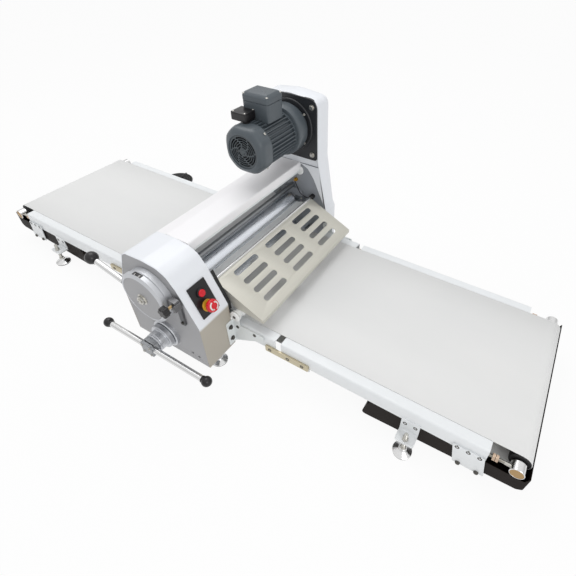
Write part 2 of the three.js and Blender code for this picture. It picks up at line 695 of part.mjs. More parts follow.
function dialRing() {
  const rim = dial.ringRadius;
  const bore = boreRadius(liftShaft.radius, turnedSides);
  const chamfer = dialFace.depth;
  return geometryOf(turnedY([
    [bore, -nearFace - seatGap], [bore, -ringFront], [rim - chamfer, -ringFront],
    [rim, -ringFront + chamfer], [rim, -nearFace - seatGap], [bore, -nearFace - seatGap],
  ], 0, liftShaft.z));
}

// The lever's place: a direction in the dial's plane and the height of its axis
const leverAngle = THREE.MathUtils.degToRad(lever.angle);
const leverY = -dialBack - lever.axisInDial;

// A round bar along the lever, between two distances from the dial's axis
function leverBar(radius, start, end, sides) {
  const cylinder = new THREE.CylinderGeometry(radius, radius, end - start, sides);
  cylinder.rotateZ(-Math.PI / 2);
  cylinder.translate((start + end) / 2, 0, 0);
  cylinder.rotateY(-leverAngle);
  cylinder.translate(0, leverY, liftShaft.z);
  return solidOf(cylinder);
}

function thicknessDial() {
  const bore = boreRadius(liftShaft.radius, turnedSides);
  const body = turnedY([
    [bore, -dialBack], [bore, -dialFront + dialFace.depth],
    [dialNut.radius + dialFace.depth, -dialFront + dialFace.depth],
    [dialNut.radius + dialFace.depth, -dialFront], [dialFace.radius, -dialFront],
    [dial.radius, -dialFront + dialFace.depth], [dial.radius, -dialBack], [bore, -dialBack],
  ], 0, liftShaft.z, 24);
  const nutSeat = barY(boreRadius(dialNut.radius), -dialFront - cutOverrun, -dialFront + dialFace.depth,
    0, liftShaft.z);
  const leverHole = leverBar(boreRadius(lever.rodRadius, 12), lever.rodStart, lever.ballReach, 12);
  return geometryOf(cut(body, [nutSeat, leverHole]));
}

// The lever's rod and its ball as one piece
function thicknessLever() {
  const ball = new THREE.SphereGeometry(lever.ballRadius, ballSides, ballRings);
  const ballX = lever.ballReach * Math.cos(leverAngle);
  const ballZ = lever.ballReach * Math.sin(leverAngle);
  ball.translate(ballX, leverY, liftShaft.z + ballZ);
  return geometryOf(joined([
    leverBar(lever.rodRadius, lever.rodStart + seatGap, dial.radius + lever.ballRadius, 12),
    leverBar(lever.gripRadius, dial.radius + seatGap, lever.ballReach, 12),
    solidOf(ball),
  ]));
}

function stopClamp() {
  const back = -nearFace - seatGap;
  const post = barY(stopPost.radius, -nearFace - stopPost.length, back, stopPost.x, stopPost.z);
  const tail = slab(stopPost.x - stopPost.tailWidth / 2, stopPost.x + stopPost.tailWidth / 2,
    back - stopPost.tailDepth, back, stopPost.z - stopPost.tailLength, stopPost.z);
  const stud = barY(boreRadius(knob.studRadius), -nearFace - stopPost.length - cutOverrun,
    -nearFace - stopPost.length + knob.studLength + seatGap, stopPost.x, stopPost.z);
  return geometryOf(cut(post.add(tail), [stud]));
}

function clampKnob() {
  const back = -nearFace - stopPost.length - seatGap;
  const grip = knob.radius - knob.lobeRadius;
  const lobes = Array.from({ length: knob.lobes }, (_, i) => {
    const angle = (i * 2 * Math.PI) / knob.lobes;
    return barY(knob.lobeRadius, back - knob.length, back,
      stopPost.x + grip * Math.cos(angle), stopPost.z + grip * Math.sin(angle), 8);
  });
  return geometryOf(joined([
    barY(grip, back - knob.length, back, stopPost.x, stopPost.z),
    barY(knob.studRadius, back - seatGap, back + knob.studLength, stopPost.x, stopPost.z, 12),
    ...lobes,
  ]));
}

// The selector's turning parts: ring, barrel, block for the bar, shaft and inner cam
function selectorHub() {
  const ringBack = nearFace + selector.flangeDepth + seatGap;
  const barrelBack = ringBack + selector.ringDepth;
  const barrelFront = barrelBack + selector.barrelDepth;
  const camBack = selector.shaftReach + selector.camWidth;
  const turned = turnedY([
    [0, -barrelFront], [selector.barrelRadius, -barrelFront], [selector.barrelRadius, -barrelBack],
    [selector.ringRadius, -barrelBack], [selector.ringRadius, -ringBack], [selector.shaftRadius, -ringBack],
    [selector.shaftRadius, -camBack], [selector.camRadius, -camBack],
    [selector.camRadius, -selector.shaftReach], [0, -selector.shaftReach],
  ], 0, selector.z);
  const holder = slab(-tBarBlock.halfWidth, tBarBlock.halfWidth, -tBar.y - tBarBlock.depth / 2,
    -barrelFront + seatGap, selector.z - tBarBlock.halfHeight, selector.z + tBarBlock.halfHeight);
  const bore = barX(boreRadius(tBar.radius, 12), -tBar.leftReach, tBar.rightReach, -tBar.y, selector.z, 12);
  return geometryOf(cut(turned.add(holder), [bore]));
}

function selectorBar() {
  const balls = [-tBar.leftReach, tBar.rightReach].map((x) => {
    const ball = new THREE.SphereGeometry(tBar.ballRadius, ballSides, ballRings);
    ball.translate(x, -tBar.y, selector.z);
    return solidOf(ball);
  });
  const rod = barX(tBar.radius, -tBar.leftReach, tBar.rightReach, -tBar.y, selector.z, 12);
  return geometryOf(joined([rod, ...balls]));
}

// The panel with its two switch sleeves, the start button's bezel and the stop button's collar
function controlPanel() {
  const plate = new THREE.BoxGeometry(panel.length, panel.width, panel.thickness);
  plate.translate(0, 0, seatGap + panel.thickness / 2);
  const top = seatGap + panel.thickness;
  const solids = [solidOf(plate, slopeMatrix())];
  const sockets = [
    [startButton, startButton.bezelRadius, startButton.bezelHeight],
    [stopButton, stopButton.collarRadius, stopButton.collarHeight],
  ];
  sockets.forEach(([button, radius, height]) => {
    solids.push(slopeBar(radius, top - seatGap, top + height, button.offset));
    solids.push(slopeBar(plunger.sleeveRadius, -plunger.sleeveLength, top, button.offset));
  });
  const bores = sockets.map(([button]) => slopeBar(
    boreRadius(plunger.radius), -plunger.sleeveLength - cutOverrun,
    top + stopButton.collarHeight + cutOverrun, button.offset));
  const well = slopeBar(boreRadius(startButton.radius), top - panel.thickness / 2,
    top + startButton.bezelHeight + cutOverrun, startButton.offset);
  return geometryOf(cut(joined(solids), [...bores, well]));
}

// A start button that sits in the bezel, its plunger in the sleeve
function startButtonGeometry() {
  const top = seatGap + panel.thickness + startButton.bezelHeight + startButton.proud;
  const capLow = seatGap + panel.thickness + startButton.bezelHeight / 2;
  return geometryOf(joined([
    slopeBar(startButton.radius, capLow, top, startButton.offset),
    slopeBar(plunger.radius, -plunger.length, capLow + seatGap, startButton.offset),
  ]));
}

// The mushroom-headed stop button on its plunger
function stopButtonGeometry() {
  const low = seatGap + panel.thickness + stopButton.collarHeight + stopButton.lift;
  const profile = mushroomShares.map(([out, up]) => new THREE.Vector2(
    out * stopButton.radius, low + up * stopButton.height));
  const cap = new THREE.LatheGeometry(profile, turnedSides);
  cap.rotateX(Math.PI / 2);
  cap.translate(stopButton.offset, 0, 0);
  return geometryOf(joined([
    solidOf(cap, slopeMatrix()),
    slopeBar(plunger.radius, -plunger.length, low + seatGap, stopButton.offset),
  ]));
}

// Guard on the right: a slotted sheet with a bent lip, two cheeks and its hinge rod
function guardGeometry() {
  const run = guard.tipX - guard.x;
  const drop = guard.z - guard.tipZ;
  const slope = Math.atan2(drop, run);
  const lipLow = guard.tipZ - guard.lip;
  const sheet = profileY(sheetProfile([
    [guard.x, guard.z], [guard.tipX, guard.tipZ], [guard.tipX, lipLow],
  ], guard.wall), -guard.halfWidth, guard.halfWidth);
  const restZ = restSpool.z + restSpool.grooveRadius + seatGap;
  const cheekPoints = [
    [guard.x - guard.rodRadius / 2, guard.z - guard.rodRadius / 2],
    [restSpool.x - restSpool.grooveRadius, restZ],
    [restSpool.x + restSpool.grooveRadius, restZ],
    [guard.tipX - guard.wall / 2, lipLow],
    [guard.tipX - guard.wall / 2, guard.tipZ - guard.wall / 2],
    [guard.x, guard.z - guard.wall / 2],
  ];
  const cheeks = [
    profileY(cheekPoints, guard.halfWidth - guard.wall, guard.halfWidth),
    profileY(cheekPoints, -guard.halfWidth, -guard.halfWidth + guard.wall),
  ];
  const rod = barY(guard.rodRadius, -plateBack + seatGap, plateBack - seatGap, guard.x, guard.z);
  const slots = [];
  for (let row = 0; row < guardSlotRows; row += 1) {
    const along = guardSlot.firstRow + row * guardSlot.rowPitch;
    for (let place = -1; place <= 1; place += 1) {
      const slot = slotCutter(slope);
      const y = guardSlot.columnOffset + place * guardSlot.columnPitch;
      slot.translate(guard.x + along * Math.cos(slope), y, guard.z - along * Math.sin(slope));
      slots.push(solidOf(slot));
    }
  }
  return geometryOf(cut(joined([sheet, ...cheeks, rod]), slots));
}

// A round-ended slot that lies along Y, square to a sheet that falls with the slope
function slotCutter(slope) {
  const half = (guardSlot.length - guardSlot.width) / 2;
  const radius = guardSlot.width / 2;
  const shape = new THREE.Shape();
  shape.absarc(0, half, radius, 0, Math.PI, false);
  shape.absarc(0, -half, radius, Math.PI, 2 * Math.PI, false);
  const slot = new THREE.ExtrudeGeometry(shape, {
    depth: cutterDepth, bevelEnabled: false, curveSegments: 2,
  });
  slot.translate(0, 0, -cutterDepth / 2);
  slot.rotateY(slope);
  return slot;
}

// Rails, skirts, bed and cross bars between two values of X
function railsAndBed(start, end, bedStart, bedEnd, barShares) {
  const bars = barShares.map((share) => {
    const x = start + share * (end - start);
    return slab(x, x + bed.crossBarThickness, -railOuter + rail.wall / 2, railOuter - rail.wall / 2,
      bedLow - bed.crossBarDepth, bedLow + bed.thickness / 2);
  });
  return [
    ...sideSlabs(start, end, railInner, railOuter, belt.topHeight - rail.wall, belt.topHeight),
    ...sideSlabs(start, end, railOuter - rail.wall, railOuter, skirtLow, belt.topHeight),
    slab(bedStart, bedEnd, -beltHalf + rail.beltGap, beltHalf - rail.beltGap, bedLow, bedTop),
    ...bars,
  ];
}

// The stub frame bolted to the head's right, with brackets, guard rests and pivot lugs
function stubFrame() {
  const solids = railsAndBed(stub.start, stub.end, stub.bedStart, stub.end, stubCrossBarShares);
  const gussetInner = railOuter + bracket.offset;
  const gussetOuter = gussetInner + bracket.thickness;
  const flangeX = head.halfLength + seatGap;
  const gussetEnd = flangeX + bracket.reach;
  const gussetPoints = [
    [flangeX, bracket.flangeLow], [gussetEnd, bracket.flangeLow + bracketFootRise],
    [gussetEnd, belt.topHeight], [restSpool.x + bracketTabHalfWidth, belt.topHeight],
    [restSpool.x + bracketTabHalfWidth, restSpool.z], [restSpool.x, restSpool.z + bracketTabHalfWidth],
    [restSpool.x - bracketTabHalfWidth, restSpool.z], [flangeX, bracket.flangeHigh],
  ];
  solids.push(profileY(gussetPoints, gussetInner, gussetOuter));
  solids.push(profileY(gussetPoints, -gussetOuter, -gussetInner));
  const flangeOuter = head.plateFace + bracket.flangeWidth;
  solids.push(...sideSlabs(flangeX, flangeX + bracket.thickness, gussetInner, flangeOuter,
    bracket.flangeLow, bracket.flangeHigh));
  const [spacerStart, spacerEnd] = bracketSpacerShares.map((share) => flangeX + share * bracket.reach);
  solids.push(...sideSlabs(spacerStart, spacerEnd,
    railOuter - rail.wall / 2, gussetInner + bracket.thickness / 2,
    belt.topHeight - bracket.spacerDepth, belt.topHeight - rail.wall / 2));
  solids.push(...restSpools(gussetInner));
  const lugs = sideSlabs(link.pivotX - lug.halfWidth, link.pivotX + lug.halfWidth,
    railOuter - rail.wall, railOuter,
    skirtLow - lug.depth, skirtLow + rail.wall);
  const pivot = barY(boreRadius(link.pinRadius, 8), -nearFace, nearFace, link.pivotX, link.z, 8);
  return geometryOf(cut(joined([...solids, ...lugs]), [pivot]));
}

// A flanged spool inside each bracket tab, on which a guard's cheek rests
function restSpools(tabFace) {
  const end = tabFace + bracket.thickness / 2;
  const inner = tabFace - restSpool.length;
  const groove = restSpool.grooveRadius;
  const full = restSpool.radius;
  const profile = [
    [0, inner], [full, inner], [full, inner + restSpool.flange], [groove, inner + restSpool.flange],
    [groove, tabFace - restSpool.flange], [full, tabFace - restSpool.flange], [full, tabFace - seatGap],
    [restSpool.pinRadius, tabFace - seatGap], [restSpool.pinRadius, end], [0, end],
  ];
  const nearProfile = profile.map(([r, y]) => [r, -y]).reverse();
  return [profile, nearProfile].map((outline) => turnedY(outline, restSpool.x, restSpool.z, spoolSides));
}

// The outer table frame on the right: rails, bed, link bars, foot and end brackets
function tableFrame() {
  const solids = railsAndBed(outer.start, outer.railEnd, outer.start, outer.bedEnd, outerCrossBarShares);
  const linkInner = railOuter + seatGap;
  const linkOuter = linkInner + link.thickness;
  solids.push(...sideSlabs(link.pivotX - link.tail, link.end, linkInner, linkOuter,
    link.z - link.height / 2, link.z + link.height / 2));
  solids.push(...sideSlabs(linkScrewXs[0] - lug.halfWidth, link.end, railOuter - rail.wall, railOuter,
    skirtLow - lug.depth, skirtLow + rail.wall));
  linkScrewXs.forEach((x) => solids.push(...sideSlabs(x - screwHeadRadius, x + screwHeadRadius,
    railOuter - rail.wall / 2, linkInner + link.thickness / 2,
    link.z - link.pinRadius, link.z + link.pinRadius)));
  solids.push(...sideBars(link.pinRadius, railOuter - link.pinDepth, linkInner + link.thickness / 2,
    link.pivotX, link.z, 8));
  const footLow = tableFoot.x - tableFoot.bracketHalfLength;
  const footHigh = tableFoot.x + tableFoot.bracketHalfLength;
  const wall = railOuter + rail.wall;
  solids.push(...sideSlabs(footLow, footHigh, railOuter - seatGap, wall, head.baseHeight, tableFoot.wallTop));
  solids.push(...sideSlabs(footLow, footHigh, railOuter - seatGap, tableFoot.flangeReach,
    head.baseHeight, footPlateTop));
  solids.push(...endPlates(), ...tensionTabs());
  const stems = [-1, 1].map((side) => barZ(boreRadius(foot.stemRadius), head.baseHeight - cutOverrun,
    footPlateTop + cutOverrun, tableFoot.x, side * tableFoot.y));
  const trayRoom = sideSlabs(tray.start - tray.innerRun, tray.end,
    0, railOuter - tray.sideClearance + seatGap, 0, skirtLow - seatGap / 2);
  return geometryOf(cut(joined(solids), [...stems, ...trayRoom]));
}

// Plates at the table's end that hold the tray, outside the rails on a spacer bar
function endPlates() {
  const inner = railOuter + endPlate.offset;
  const outerY = inner + bracket.thickness;
  const outline = [
    [endPlate.start + endPlate.lean, endPlate.low], [endPlate.end + endPlate.lean, endPlate.low],
    [endPlate.end, endPlate.high], [endPlate.start, endPlate.high],
  ];
  const margin = screwHeadRadius;
  return [
    profileY(outline, inner, outerY), profileY(outline, -outerY, -inner),
    ...sideSlabs(endPlate.start + margin, endPlate.end - margin, railOuter - rail.wall / 2,
      inner + bracket.thickness / 2, endPlateHold.low, endPlateHold.high),
  ];
}

// Tabs across the rail ends through which the tension screws pass
function tensionTabs() {
  const x = outer.railEnd - tensionTab.inset;
  const z = endRollerZ;
  const y = screwY;
  const inner = y - tensionTab.width / 2;
  const tabs = sideSlabs(x - tensionTab.thickness, x, inner, railOuter - rail.wall / 2,
    belt.topHeight - tensionTab.below, belt.topHeight - rail.wall / 2);
  const hole = boreRadius(tensionScrew.radius);
  const holes = [-1, 1].map((side) => barX(hole, x - tensionTab.thickness - cutOverrun, x + cutOverrun,
    side * y, z));
  return tabs.map((tab) => cut(tab, holes));
}

const endRollerZ = belt.topHeight - belt.thickness - endRoller.radius;
const driveRollerZ = belt.topHeight - belt.thickness - driveRoller.radius;
const blockInnerY = beltHalf + endRoller.faceClearance + takeUp.blockStandOff;
const screwY = blockInnerY + takeUp.blockLength / 2;

// The belt: an outline of two arcs joined by straight runs, with the same shape inside it
function tableBelt() {
  const loop = (gap) => {
    const shape = new THREE.Shape();
    const small = driveRoller.radius + gap;
    const large = endRoller.radius + gap;
    const run = endRoller.x - driveRoller.x;
    const rise = endRollerZ - driveRollerZ;
    const lean = Math.asin((large - small) / Math.hypot(run, rise));
    const fall = Math.atan2(rise, run);
    const top = Math.PI / 2 + fall + lean;
    const low = -Math.PI / 2 + fall - lean;
    shape.absarc(driveRoller.x, driveRollerZ, small, top, 2 * Math.PI + low, false);
    shape.absarc(endRoller.x, endRollerZ, large, low, top, false);
    return shape;
  };
  const shape = loop(belt.thickness);
  shape.holes.push(loop(seatGap));
  const geometry = new THREE.ExtrudeGeometry(shape, {
    depth: belt.width, bevelEnabled: false, curveSegments: 8,
  });
  geometry.rotateX(Math.PI / 2);
  geometry.translate(0, beltHalf, 0);
  return geometryOf(solidOf(geometry));
}

// The hollow roller at the table's end
function endRollerGeometry() {
  const half = beltHalf + endRoller.faceClearance;
  const bore = boreRadius(takeUp.axleRadius, turnedSides);
  return geometryOf(turnedY([
    [bore, -half], [endRoller.radius, -half], [endRoller.radius, half], [bore, half], [bore, -half],
  ], endRoller.x, endRollerZ));
}

// The axle of the end roller with its round end blocks, tension screws and nuts
function takeUpGeometry() {
  const outerY = blockInnerY + takeUp.blockLength;
  const start = endRoller.x - tensionScrew.length;
  const solids = [
    barY(takeUp.axleRadius, -blockInnerY - seatGap, blockInnerY + seatGap, endRoller.x, endRollerZ, 16),
    ...sideBars(takeUp.blockRadius, blockInnerY, outerY, endRoller.x, endRollerZ),
  ];
  [-1, 1].forEach((side) => {
    solids.push(barX(tensionScrew.radius, start, endRoller.x, side * screwY, endRollerZ, 8));
    for (let i = 0; i < tensionNuts; i += 1) {
      const x = outer.railEnd + tensionScrew.nutStart + i * tensionScrew.nutSpacing;
      const nutEnd = x + tensionScrew.nutLength;
      solids.push(barX(tensionScrew.nutRadius, x, nutEnd, side * screwY, endRollerZ, 6));
    }
  });
  return geometryOf(joined(solids));
}

// The tray that hangs under the table's end, open at the top, with a lip past the belt
function catchTray() {
  const halfWidth = railOuter - tray.sideClearance;
  const sideTop = skirtLow - seatGap;
  const lowEnd = tray.end - tray.cornerRun - tray.cornerLean;
  const outline = [
    [tray.start - tray.slant, tray.innerLow], [lowEnd, tray.outerLow],
    [tray.end - tray.cornerLean, tray.outerLow + tray.cornerRise],
    [tray.end, tray.lipHeight], [tray.end - tray.wall, tray.lipHeight], [tray.end - tray.wallRun, sideTop],
    [tray.start, sideTop],
  ];
  const body = profileY(outline, -halfWidth, halfWidth);
  const hollow = profileY([
    [tray.start - tray.slant + tray.floorWall, tray.innerLow + tray.floorWall],
    [lowEnd, tray.outerLow + tray.wall],
    [tray.end - tray.cornerLean - tray.floorWall, tray.outerLow + tray.cornerRise + tray.wall],
    [tray.end - tray.floorWall, tray.lipHeight + cutOverrun],
    [tray.start + tray.floorWall, tray.lipHeight + cutOverrun],
  ], -halfWidth + tray.wall, halfWidth - tray.wall);
  const beltRoom = slab(tray.start - tray.innerRun, tray.start + tray.innerRun, -railInner, railInner,
    tray.innerWallTop, tray.lipHeight);
  const blockRoom = slab(outer.railEnd + cutOverrun, tray.end - tray.wallRun, -railOuter, railOuter,
    endRollerZ - takeUp.blockRadius - tray.blockClearance, tray.lipHeight);
  return geometryOf(cut(body, [hollow, beltRoom, blockRoom]));
}

// A levelling foot: cone disc and threaded stem
function footGeometry(x, y) {
  const top = footPlateTop + footStemRise;
  const profile = [
    [0, 0], [foot.discRadius, 0], [foot.discRadius, foot.discEdge], [foot.neckRadius, foot.coneHeight],
    [foot.stemRadius, foot.coneHeight], [foot.stemRadius, top], [0, top],
  ];
  const lathe = new THREE.LatheGeometry(profile.map(([r, h]) => new THREE.Vector2(r, h)), 10);
  lathe.rotateX(Math.PI / 2);
  lathe.translate(x, y, 0);
  return geometryOf(solidOf(lathe));
}

// Motor pieces
function adaptorPlate() {
  const front = head.plateFace - seatGap;
  const plate = profileY(insetOutline(farOutline, plateInset + seatGap), front - adaptor.thickness, front)
    .intersect(slab(columnLeft, columnRight, 0, farFace, adaptor.low, column.topHeight));
  const bolts = [-1, 1].flatMap((side) => adaptor.boltRises.map((rise) => barY(adaptor.boltRadius,
    front - adaptor.thickness - screwHeadHeight, front - seatGap, motor.x + side * adaptor.boltX,
    motor.z + rise, 6)));
  const bore = barY(boreRadius(motor.shaftRadius), 0, farFace, motor.x, motor.z);
  return geometryOf(cut(joined([plate, ...bolts]), [bore]));
}

function endBell() {
  const far = head.plateFace - seatGap - adaptor.thickness - seatGap;
  const near = motor.bodyFar + seatGap;
  const bore = boreRadius(motor.shaftRadius, turnedSides);
  const wall = motor.finDepth;
  return geometryOf(turnedY([
    [bore, far], [bore, far - 2 * wall], [motor.cavityRadius, far - 2 * wall], [motor.cavityRadius, near],
    [motor.bodyRadius, near], [motor.bellRadius, near + wall / 2], [motor.bellRadius, far - wall],
    [motor.bodyRadius, far], [bore, far],
  ], motor.x, motor.z, 24));
}

function motorBody() {
  const points = [];
  const step = (2 * Math.PI) / motor.fins;
  for (let i = 0; i < motor.fins; i += 1) {
    const root = motor.bodyRadius - motor.finDepth;
    const radii = [root, root, motor.bodyRadius, motor.bodyRadius];
    finShares.forEach((share, k) => {
      const angle = (i + share) * step;
      points.push([motor.x + radii[k] * Math.cos(angle), motor.z + radii[k] * Math.sin(angle)]);
    });
  }
  const body = profileY(points, motor.bodyNear, motor.bodyFar);
  const cavity = barY(boreRadius(motor.cavityRadius), motor.bodyNear + motor.rearPlate,
    motor.bodyFar + cutOverrun, motor.x, motor.z);
  const bore = barY(boreRadius(motor.shaftRadius), motor.bodyNear - cutOverrun, motor.bodyFar,
    motor.x, motor.z);
  return geometryOf(cut(body, [cavity, bore]));
}

// An eight-sided outline about the motor's axis, its corners rounded
function eightSided(half) {
  const short = half * fanCover.cornerShare;
  const corners = [
    [half, -short], [half, short], [short, half], [-short, half],
    [-half, short], [-half, -short], [-short, -half], [short, -half],
  ];
  return roundedOutline(corners.map(([x, z]) => [motor.x + x, motor.z + z, half * fanCover.roundShare]), 1);
}

function fanCoverGeometry() {
  const far = motor.bodyNear - seatGap;
  const shell = profileY(eightSided(fanCover.halfWidth), motor.fanNear + fanCover.faceInset, far);
  const rim = profileY(eightSided(fanCover.halfWidth - fanCover.faceInset), motor.fanNear, far);
  const inside = profileY(eightSided(fanCover.halfWidth - fanCover.faceInset - fanCover.wall),
    motor.fanNear + fanCover.wall, far + cutOverrun);
  const slots = Array.from({ length: fanSlot.count }, (_, i) => {
    const box = new THREE.BoxGeometry(fanSlot.outer - fanSlot.inner, cutterDepth, fanSlot.width);
    box.translate((fanSlot.inner + fanSlot.outer) / 2, 0, 0);
    box.rotateY((i * 2 * Math.PI) / fanSlot.count);
    box.translate(motor.x, motor.fanNear, motor.z);
    return solidOf(box);
  });
  return geometryOf(cut(shell.add(rim), [inside, ...slots]));
}

// The fan, seated on the rotor's shaft
function fanSolid() {
  const disc = barY(fan.radius, fan.far - fan.bladeThickness, fan.far, motor.x, motor.z);
  const hub = barY(fan.hubRadius, fan.near, fan.far, motor.x, motor.z);
  const blades = Array.from({ length: fan.blades }, (_, i) => {
    const box = new THREE.BoxGeometry(fan.radius - fan.hubRadius / 2, fan.far - fan.near, fan.bladeThickness);
    box.translate((fan.radius + fan.hubRadius / 2) / 2, (fan.near + fan.far) / 2, 0);
    box.rotateY((i * 2 * Math.PI) / fan.blades);
    box.translate(motor.x, 0, motor.z);
    return solidOf(box);
  });
  const round = barY(fan.radius, fan.near, fan.far, motor.x, motor.z);
  return joined([disc, hub, ...blades]).intersect(round);
}

// The motor's rotor: fan, shaft, core and pulley on one axis
function motorRotor() {
  const shaft = motor.shaftRadius;
  const rim = motorPulleyRadius;
  const end = pulleyNear + pulleyWidth;
  return geometryOf(turnedY([
    [0, fan.near + fan.bladeThickness], [shaft, fan.near + fan.bladeThickness], [shaft, rotor.near],
    [rotor.radius, rotor.near], [rotor.radius, rotor.far], [shaft, rotor.far],
    [shaft, pulleyNear], [rim, pulleyNear], [rim, end], [shaft, end], [shaft, rotor.reach], [0, rotor.reach],
  ], motor.x, motor.z, 12).add(fanSolid()));
}

// The terminal box on its saddle, with the capacitor box screwed to its front
function terminalBoxGeometry() {
  const { left, right, near, far, bevel } = terminalBox;
  const low = motor.z + terminalBox.lowRise;
  const top = motor.z + terminalBox.topRise;
  const lid = profileY([
    [left, low], [right, low], [right, top - bevel], [right - bevel, top],
    [left + bevel, top], [left, top - bevel],
  ], near, far);
  const saddle = barY(boreRadius(motor.bodyRadius, 20), near - cutOverrun, far + cutOverrun,
    motor.x, motor.z, 20);
  const boss = barX(glandBoss.radius, left - glandBoss.length, left + bevel, (near + far) / 2,
    motor.z + glandBoss.rise);
  const capacitor = slab(capacitorBox.left, capacitorBox.right, capacitorBox.near, near + bevel,
    motor.z + capacitorBox.lowRise, motor.z + capacitorBox.topRise);
  return geometryOf(joined([cut(lid, [saddle]), boss, capacitor]));
}

// The drive belt as an outline round both pulleys
function driveBelt() {
  const loop = (gap) => {
    const small = motorPulleyRadius + gap;
    const large = rollerPulleyRadius + gap;
    const run = Math.hypot(motor.x, motor.z - lowerRoller.z);
    const tilt = Math.atan2(motor.z - lowerRoller.z, motor.x);
    const lean = Math.acos((large - small) / run);
    const shape = new THREE.Shape();
    shape.absarc(motor.x, motor.z, small, tilt - lean, tilt + lean, false);
    shape.absarc(0, lowerRoller.z, large, tilt + lean, tilt - lean + 2 * Math.PI, false);
    return shape;
  };
  const shape = loop(seatGap + driveBeltThickness);
  shape.holes.push(loop(seatGap));
  const geometry = new THREE.ExtrudeGeometry(shape, {
    depth: driveBeltWidth, bevelEnabled: false, curveSegments: 8,
  });
  geometry.rotateX(Math.PI / 2);
  geometry.translate(0, pulleyNear + (pulleyWidth + driveBeltWidth) / 2, 0);
  return geometryOf(solidOf(geometry));
}

// The lower roller with the driven pulley on its far journal
function lowerRollerGeometry() {
  const half = rollerFaceLength / 2;
  const journal = lowerRoller.journalRadius;
  const end = pulleyNear + pulleyWidth;
  return geometryOf(turnedY([
    [0, -lowerRoller.nearReach], [journal, -lowerRoller.nearReach], [journal, -half], [rollerRadius, -half],
    [rollerRadius, half], [journal, half], [journal, pulleyNear], [rollerPulleyRadius, pulleyNear],
    [rollerPulleyRadius, end], [journal, end], [journal, lowerRoller.farReach], [0, lowerRoller.farReach],
  ], 0, lowerRoller.z, 20));
}

// Power cord
const coverLeft = -head.halfLength;
const glandEnd = coverLeft - seatGap - gland.length;

function cordGland() {
  return geometryOf(joined([
    barX(gland.nutRadius, coverLeft - seatGap - gland.nutLength, coverLeft - seatGap,
      cord.exitY, cord.exitZ, 6),
    barX(gland.radius, glandEnd, coverLeft - seatGap, cord.exitY, cord.exitZ, 12),
  ]));
}

// A tube of a few flat sides swept through points, its ends square to its first and last runs
function sweptTube(points, radius, sides) {
  const positions = [];
  const index = [];
  let up = new THREE.Vector3(0, 0, 1);
  points.forEach((point, i) => {
    const before = points[Math.max(i - 1, 0)];
    const after = points[Math.min(i + 1, points.length - 1)];
    const along = after.clone().sub(before).normalize();
    const side = new THREE.Vector3().crossVectors(along, up).normalize();
    up = new THREE.Vector3().crossVectors(side, along).normalize();
    for (let k = 0; k < sides; k += 1) {
      const angle = ((2 * k + 1) * Math.PI) / sides;
      const ring = point.clone().addScaledVector(side, radius * Math.cos(angle));
      ring.addScaledVector(up, radius * Math.sin(angle));
      positions.push(ring.x, ring.y, ring.z);
    }
  });
  for (let i = 0; i + 1 < points.length; i += 1) {
    for (let k = 0; k < sides; k += 1) {
      const a = i * sides + k;
      const b = i * sides + ((k + 1) % sides);
      index.push(a, a + sides, b, b, a + sides, b + sides);
    }
  }
  const last = (points.length - 1) * sides;
  for (let k = 1; k + 1 < sides; k += 1) {
    index.push(0, k, k + 1);
    index.push(last, last + k + 1, last + k);
  }
  const geometry = new THREE.BufferGeometry();
  geometry.setAttribute('position', new THREE.BufferAttribute(new Float32Array(positions), 3));
  geometry.setIndex(index);
  geometry.computeVertexNormals();
  return geometry;
}

// The coil's middle line: inwards on the bench, up half a turn, and outwards on top of itself
function coilPoints() {
  const diameter = 2 * cord.radius;
  const pitch = coil.pitchDiameters * diameter;
  const startTurn = coilStartAngle / 360;
  const total = 2 * coil.turnsPerLayer + (coilStartAngle - coilEndAngle) / 360;
  const middle = total / 2;
  const points = [];
  const count = Math.round(total * coilStepsPerTurn);
  for (let i = 0; i <= count; i += 1) {
    const turn = (i / count) * total;
    const fromMiddle = Math.abs(turn - middle);
    const climb = THREE.MathUtils.smoothstep(turn, middle - climbTurnShare, middle + climbTurnShare);
    const radius = coil.outerRadius - cord.radius - pitch * (middle - fromMiddle);
    const angle = (startTurn - turn) * 2 * Math.PI;
    points.push(new THREE.Vector3(coil.x + radius * Math.cos(angle), coil.y + radius * Math.sin(angle),
      cord.radius + climb * pitch));
  }
  return points;
}

// A straight run of one cord diameter before the first and after the last point
function withStraightEnds(points) {
  const count = points.length;
  const before = points[0].clone().sub(points[1]).setZ(0).setLength(2 * cord.radius);
  const after = points[count - 1].clone().sub(points[count - 2]).setZ(0).setLength(2 * cord.radius);
  return [points[0].clone().add(before), ...points, points[count - 1].clone().add(after)];
}

// Least distance between parts of the coil that are more than half a turn apart, less the cord
function leastSelfGap(points) {
  let least = Infinity;
  const skip = coilStepsPerTurn / 2;
  for (let i = 0; i + 1 < points.length; i += 1) {
    const line = new THREE.Line3(points[i], points[i + 1]);
    for (let k = i + skip; k < points.length; k += 1) {
      const near = line.closestPointToPoint(points[k], true, new THREE.Vector3());
      least = Math.min(least, near.distanceTo(points[k]));
    }
  }
  return least - 2 * cord.radius;
}

// The free stretch from the gland to the coil, points chosen by hand along the bench
const feedRoute = [
  [-196, 338, 92], [-212, 338, 89], [-230, 339, 78], [-248, 341, 60], [-264, 343, 40], [-282, 346, 22],
  [-304, 350, 10], [-330, 354, 5.5], [-370, 361, 5.2], [-420, 371, 5.2], [-470, 384, 5.2], [-520, 398, 5.2],
  [-570, 410, 5.2], [-620, 416, 5.2], [-665, 414, 5.2], [-705, 404, 5.2], [-740, 387, 5.2],
];
// The short stretch from the coil to the plug
const tailRoute = [
  [-884, 329, 14], [-900, 329, 11], [-916, 330, 8], [-934, 331, 6.2], [-952, 332, 6], [-968, 333, 8],
];
const plugHeight = 14.2;

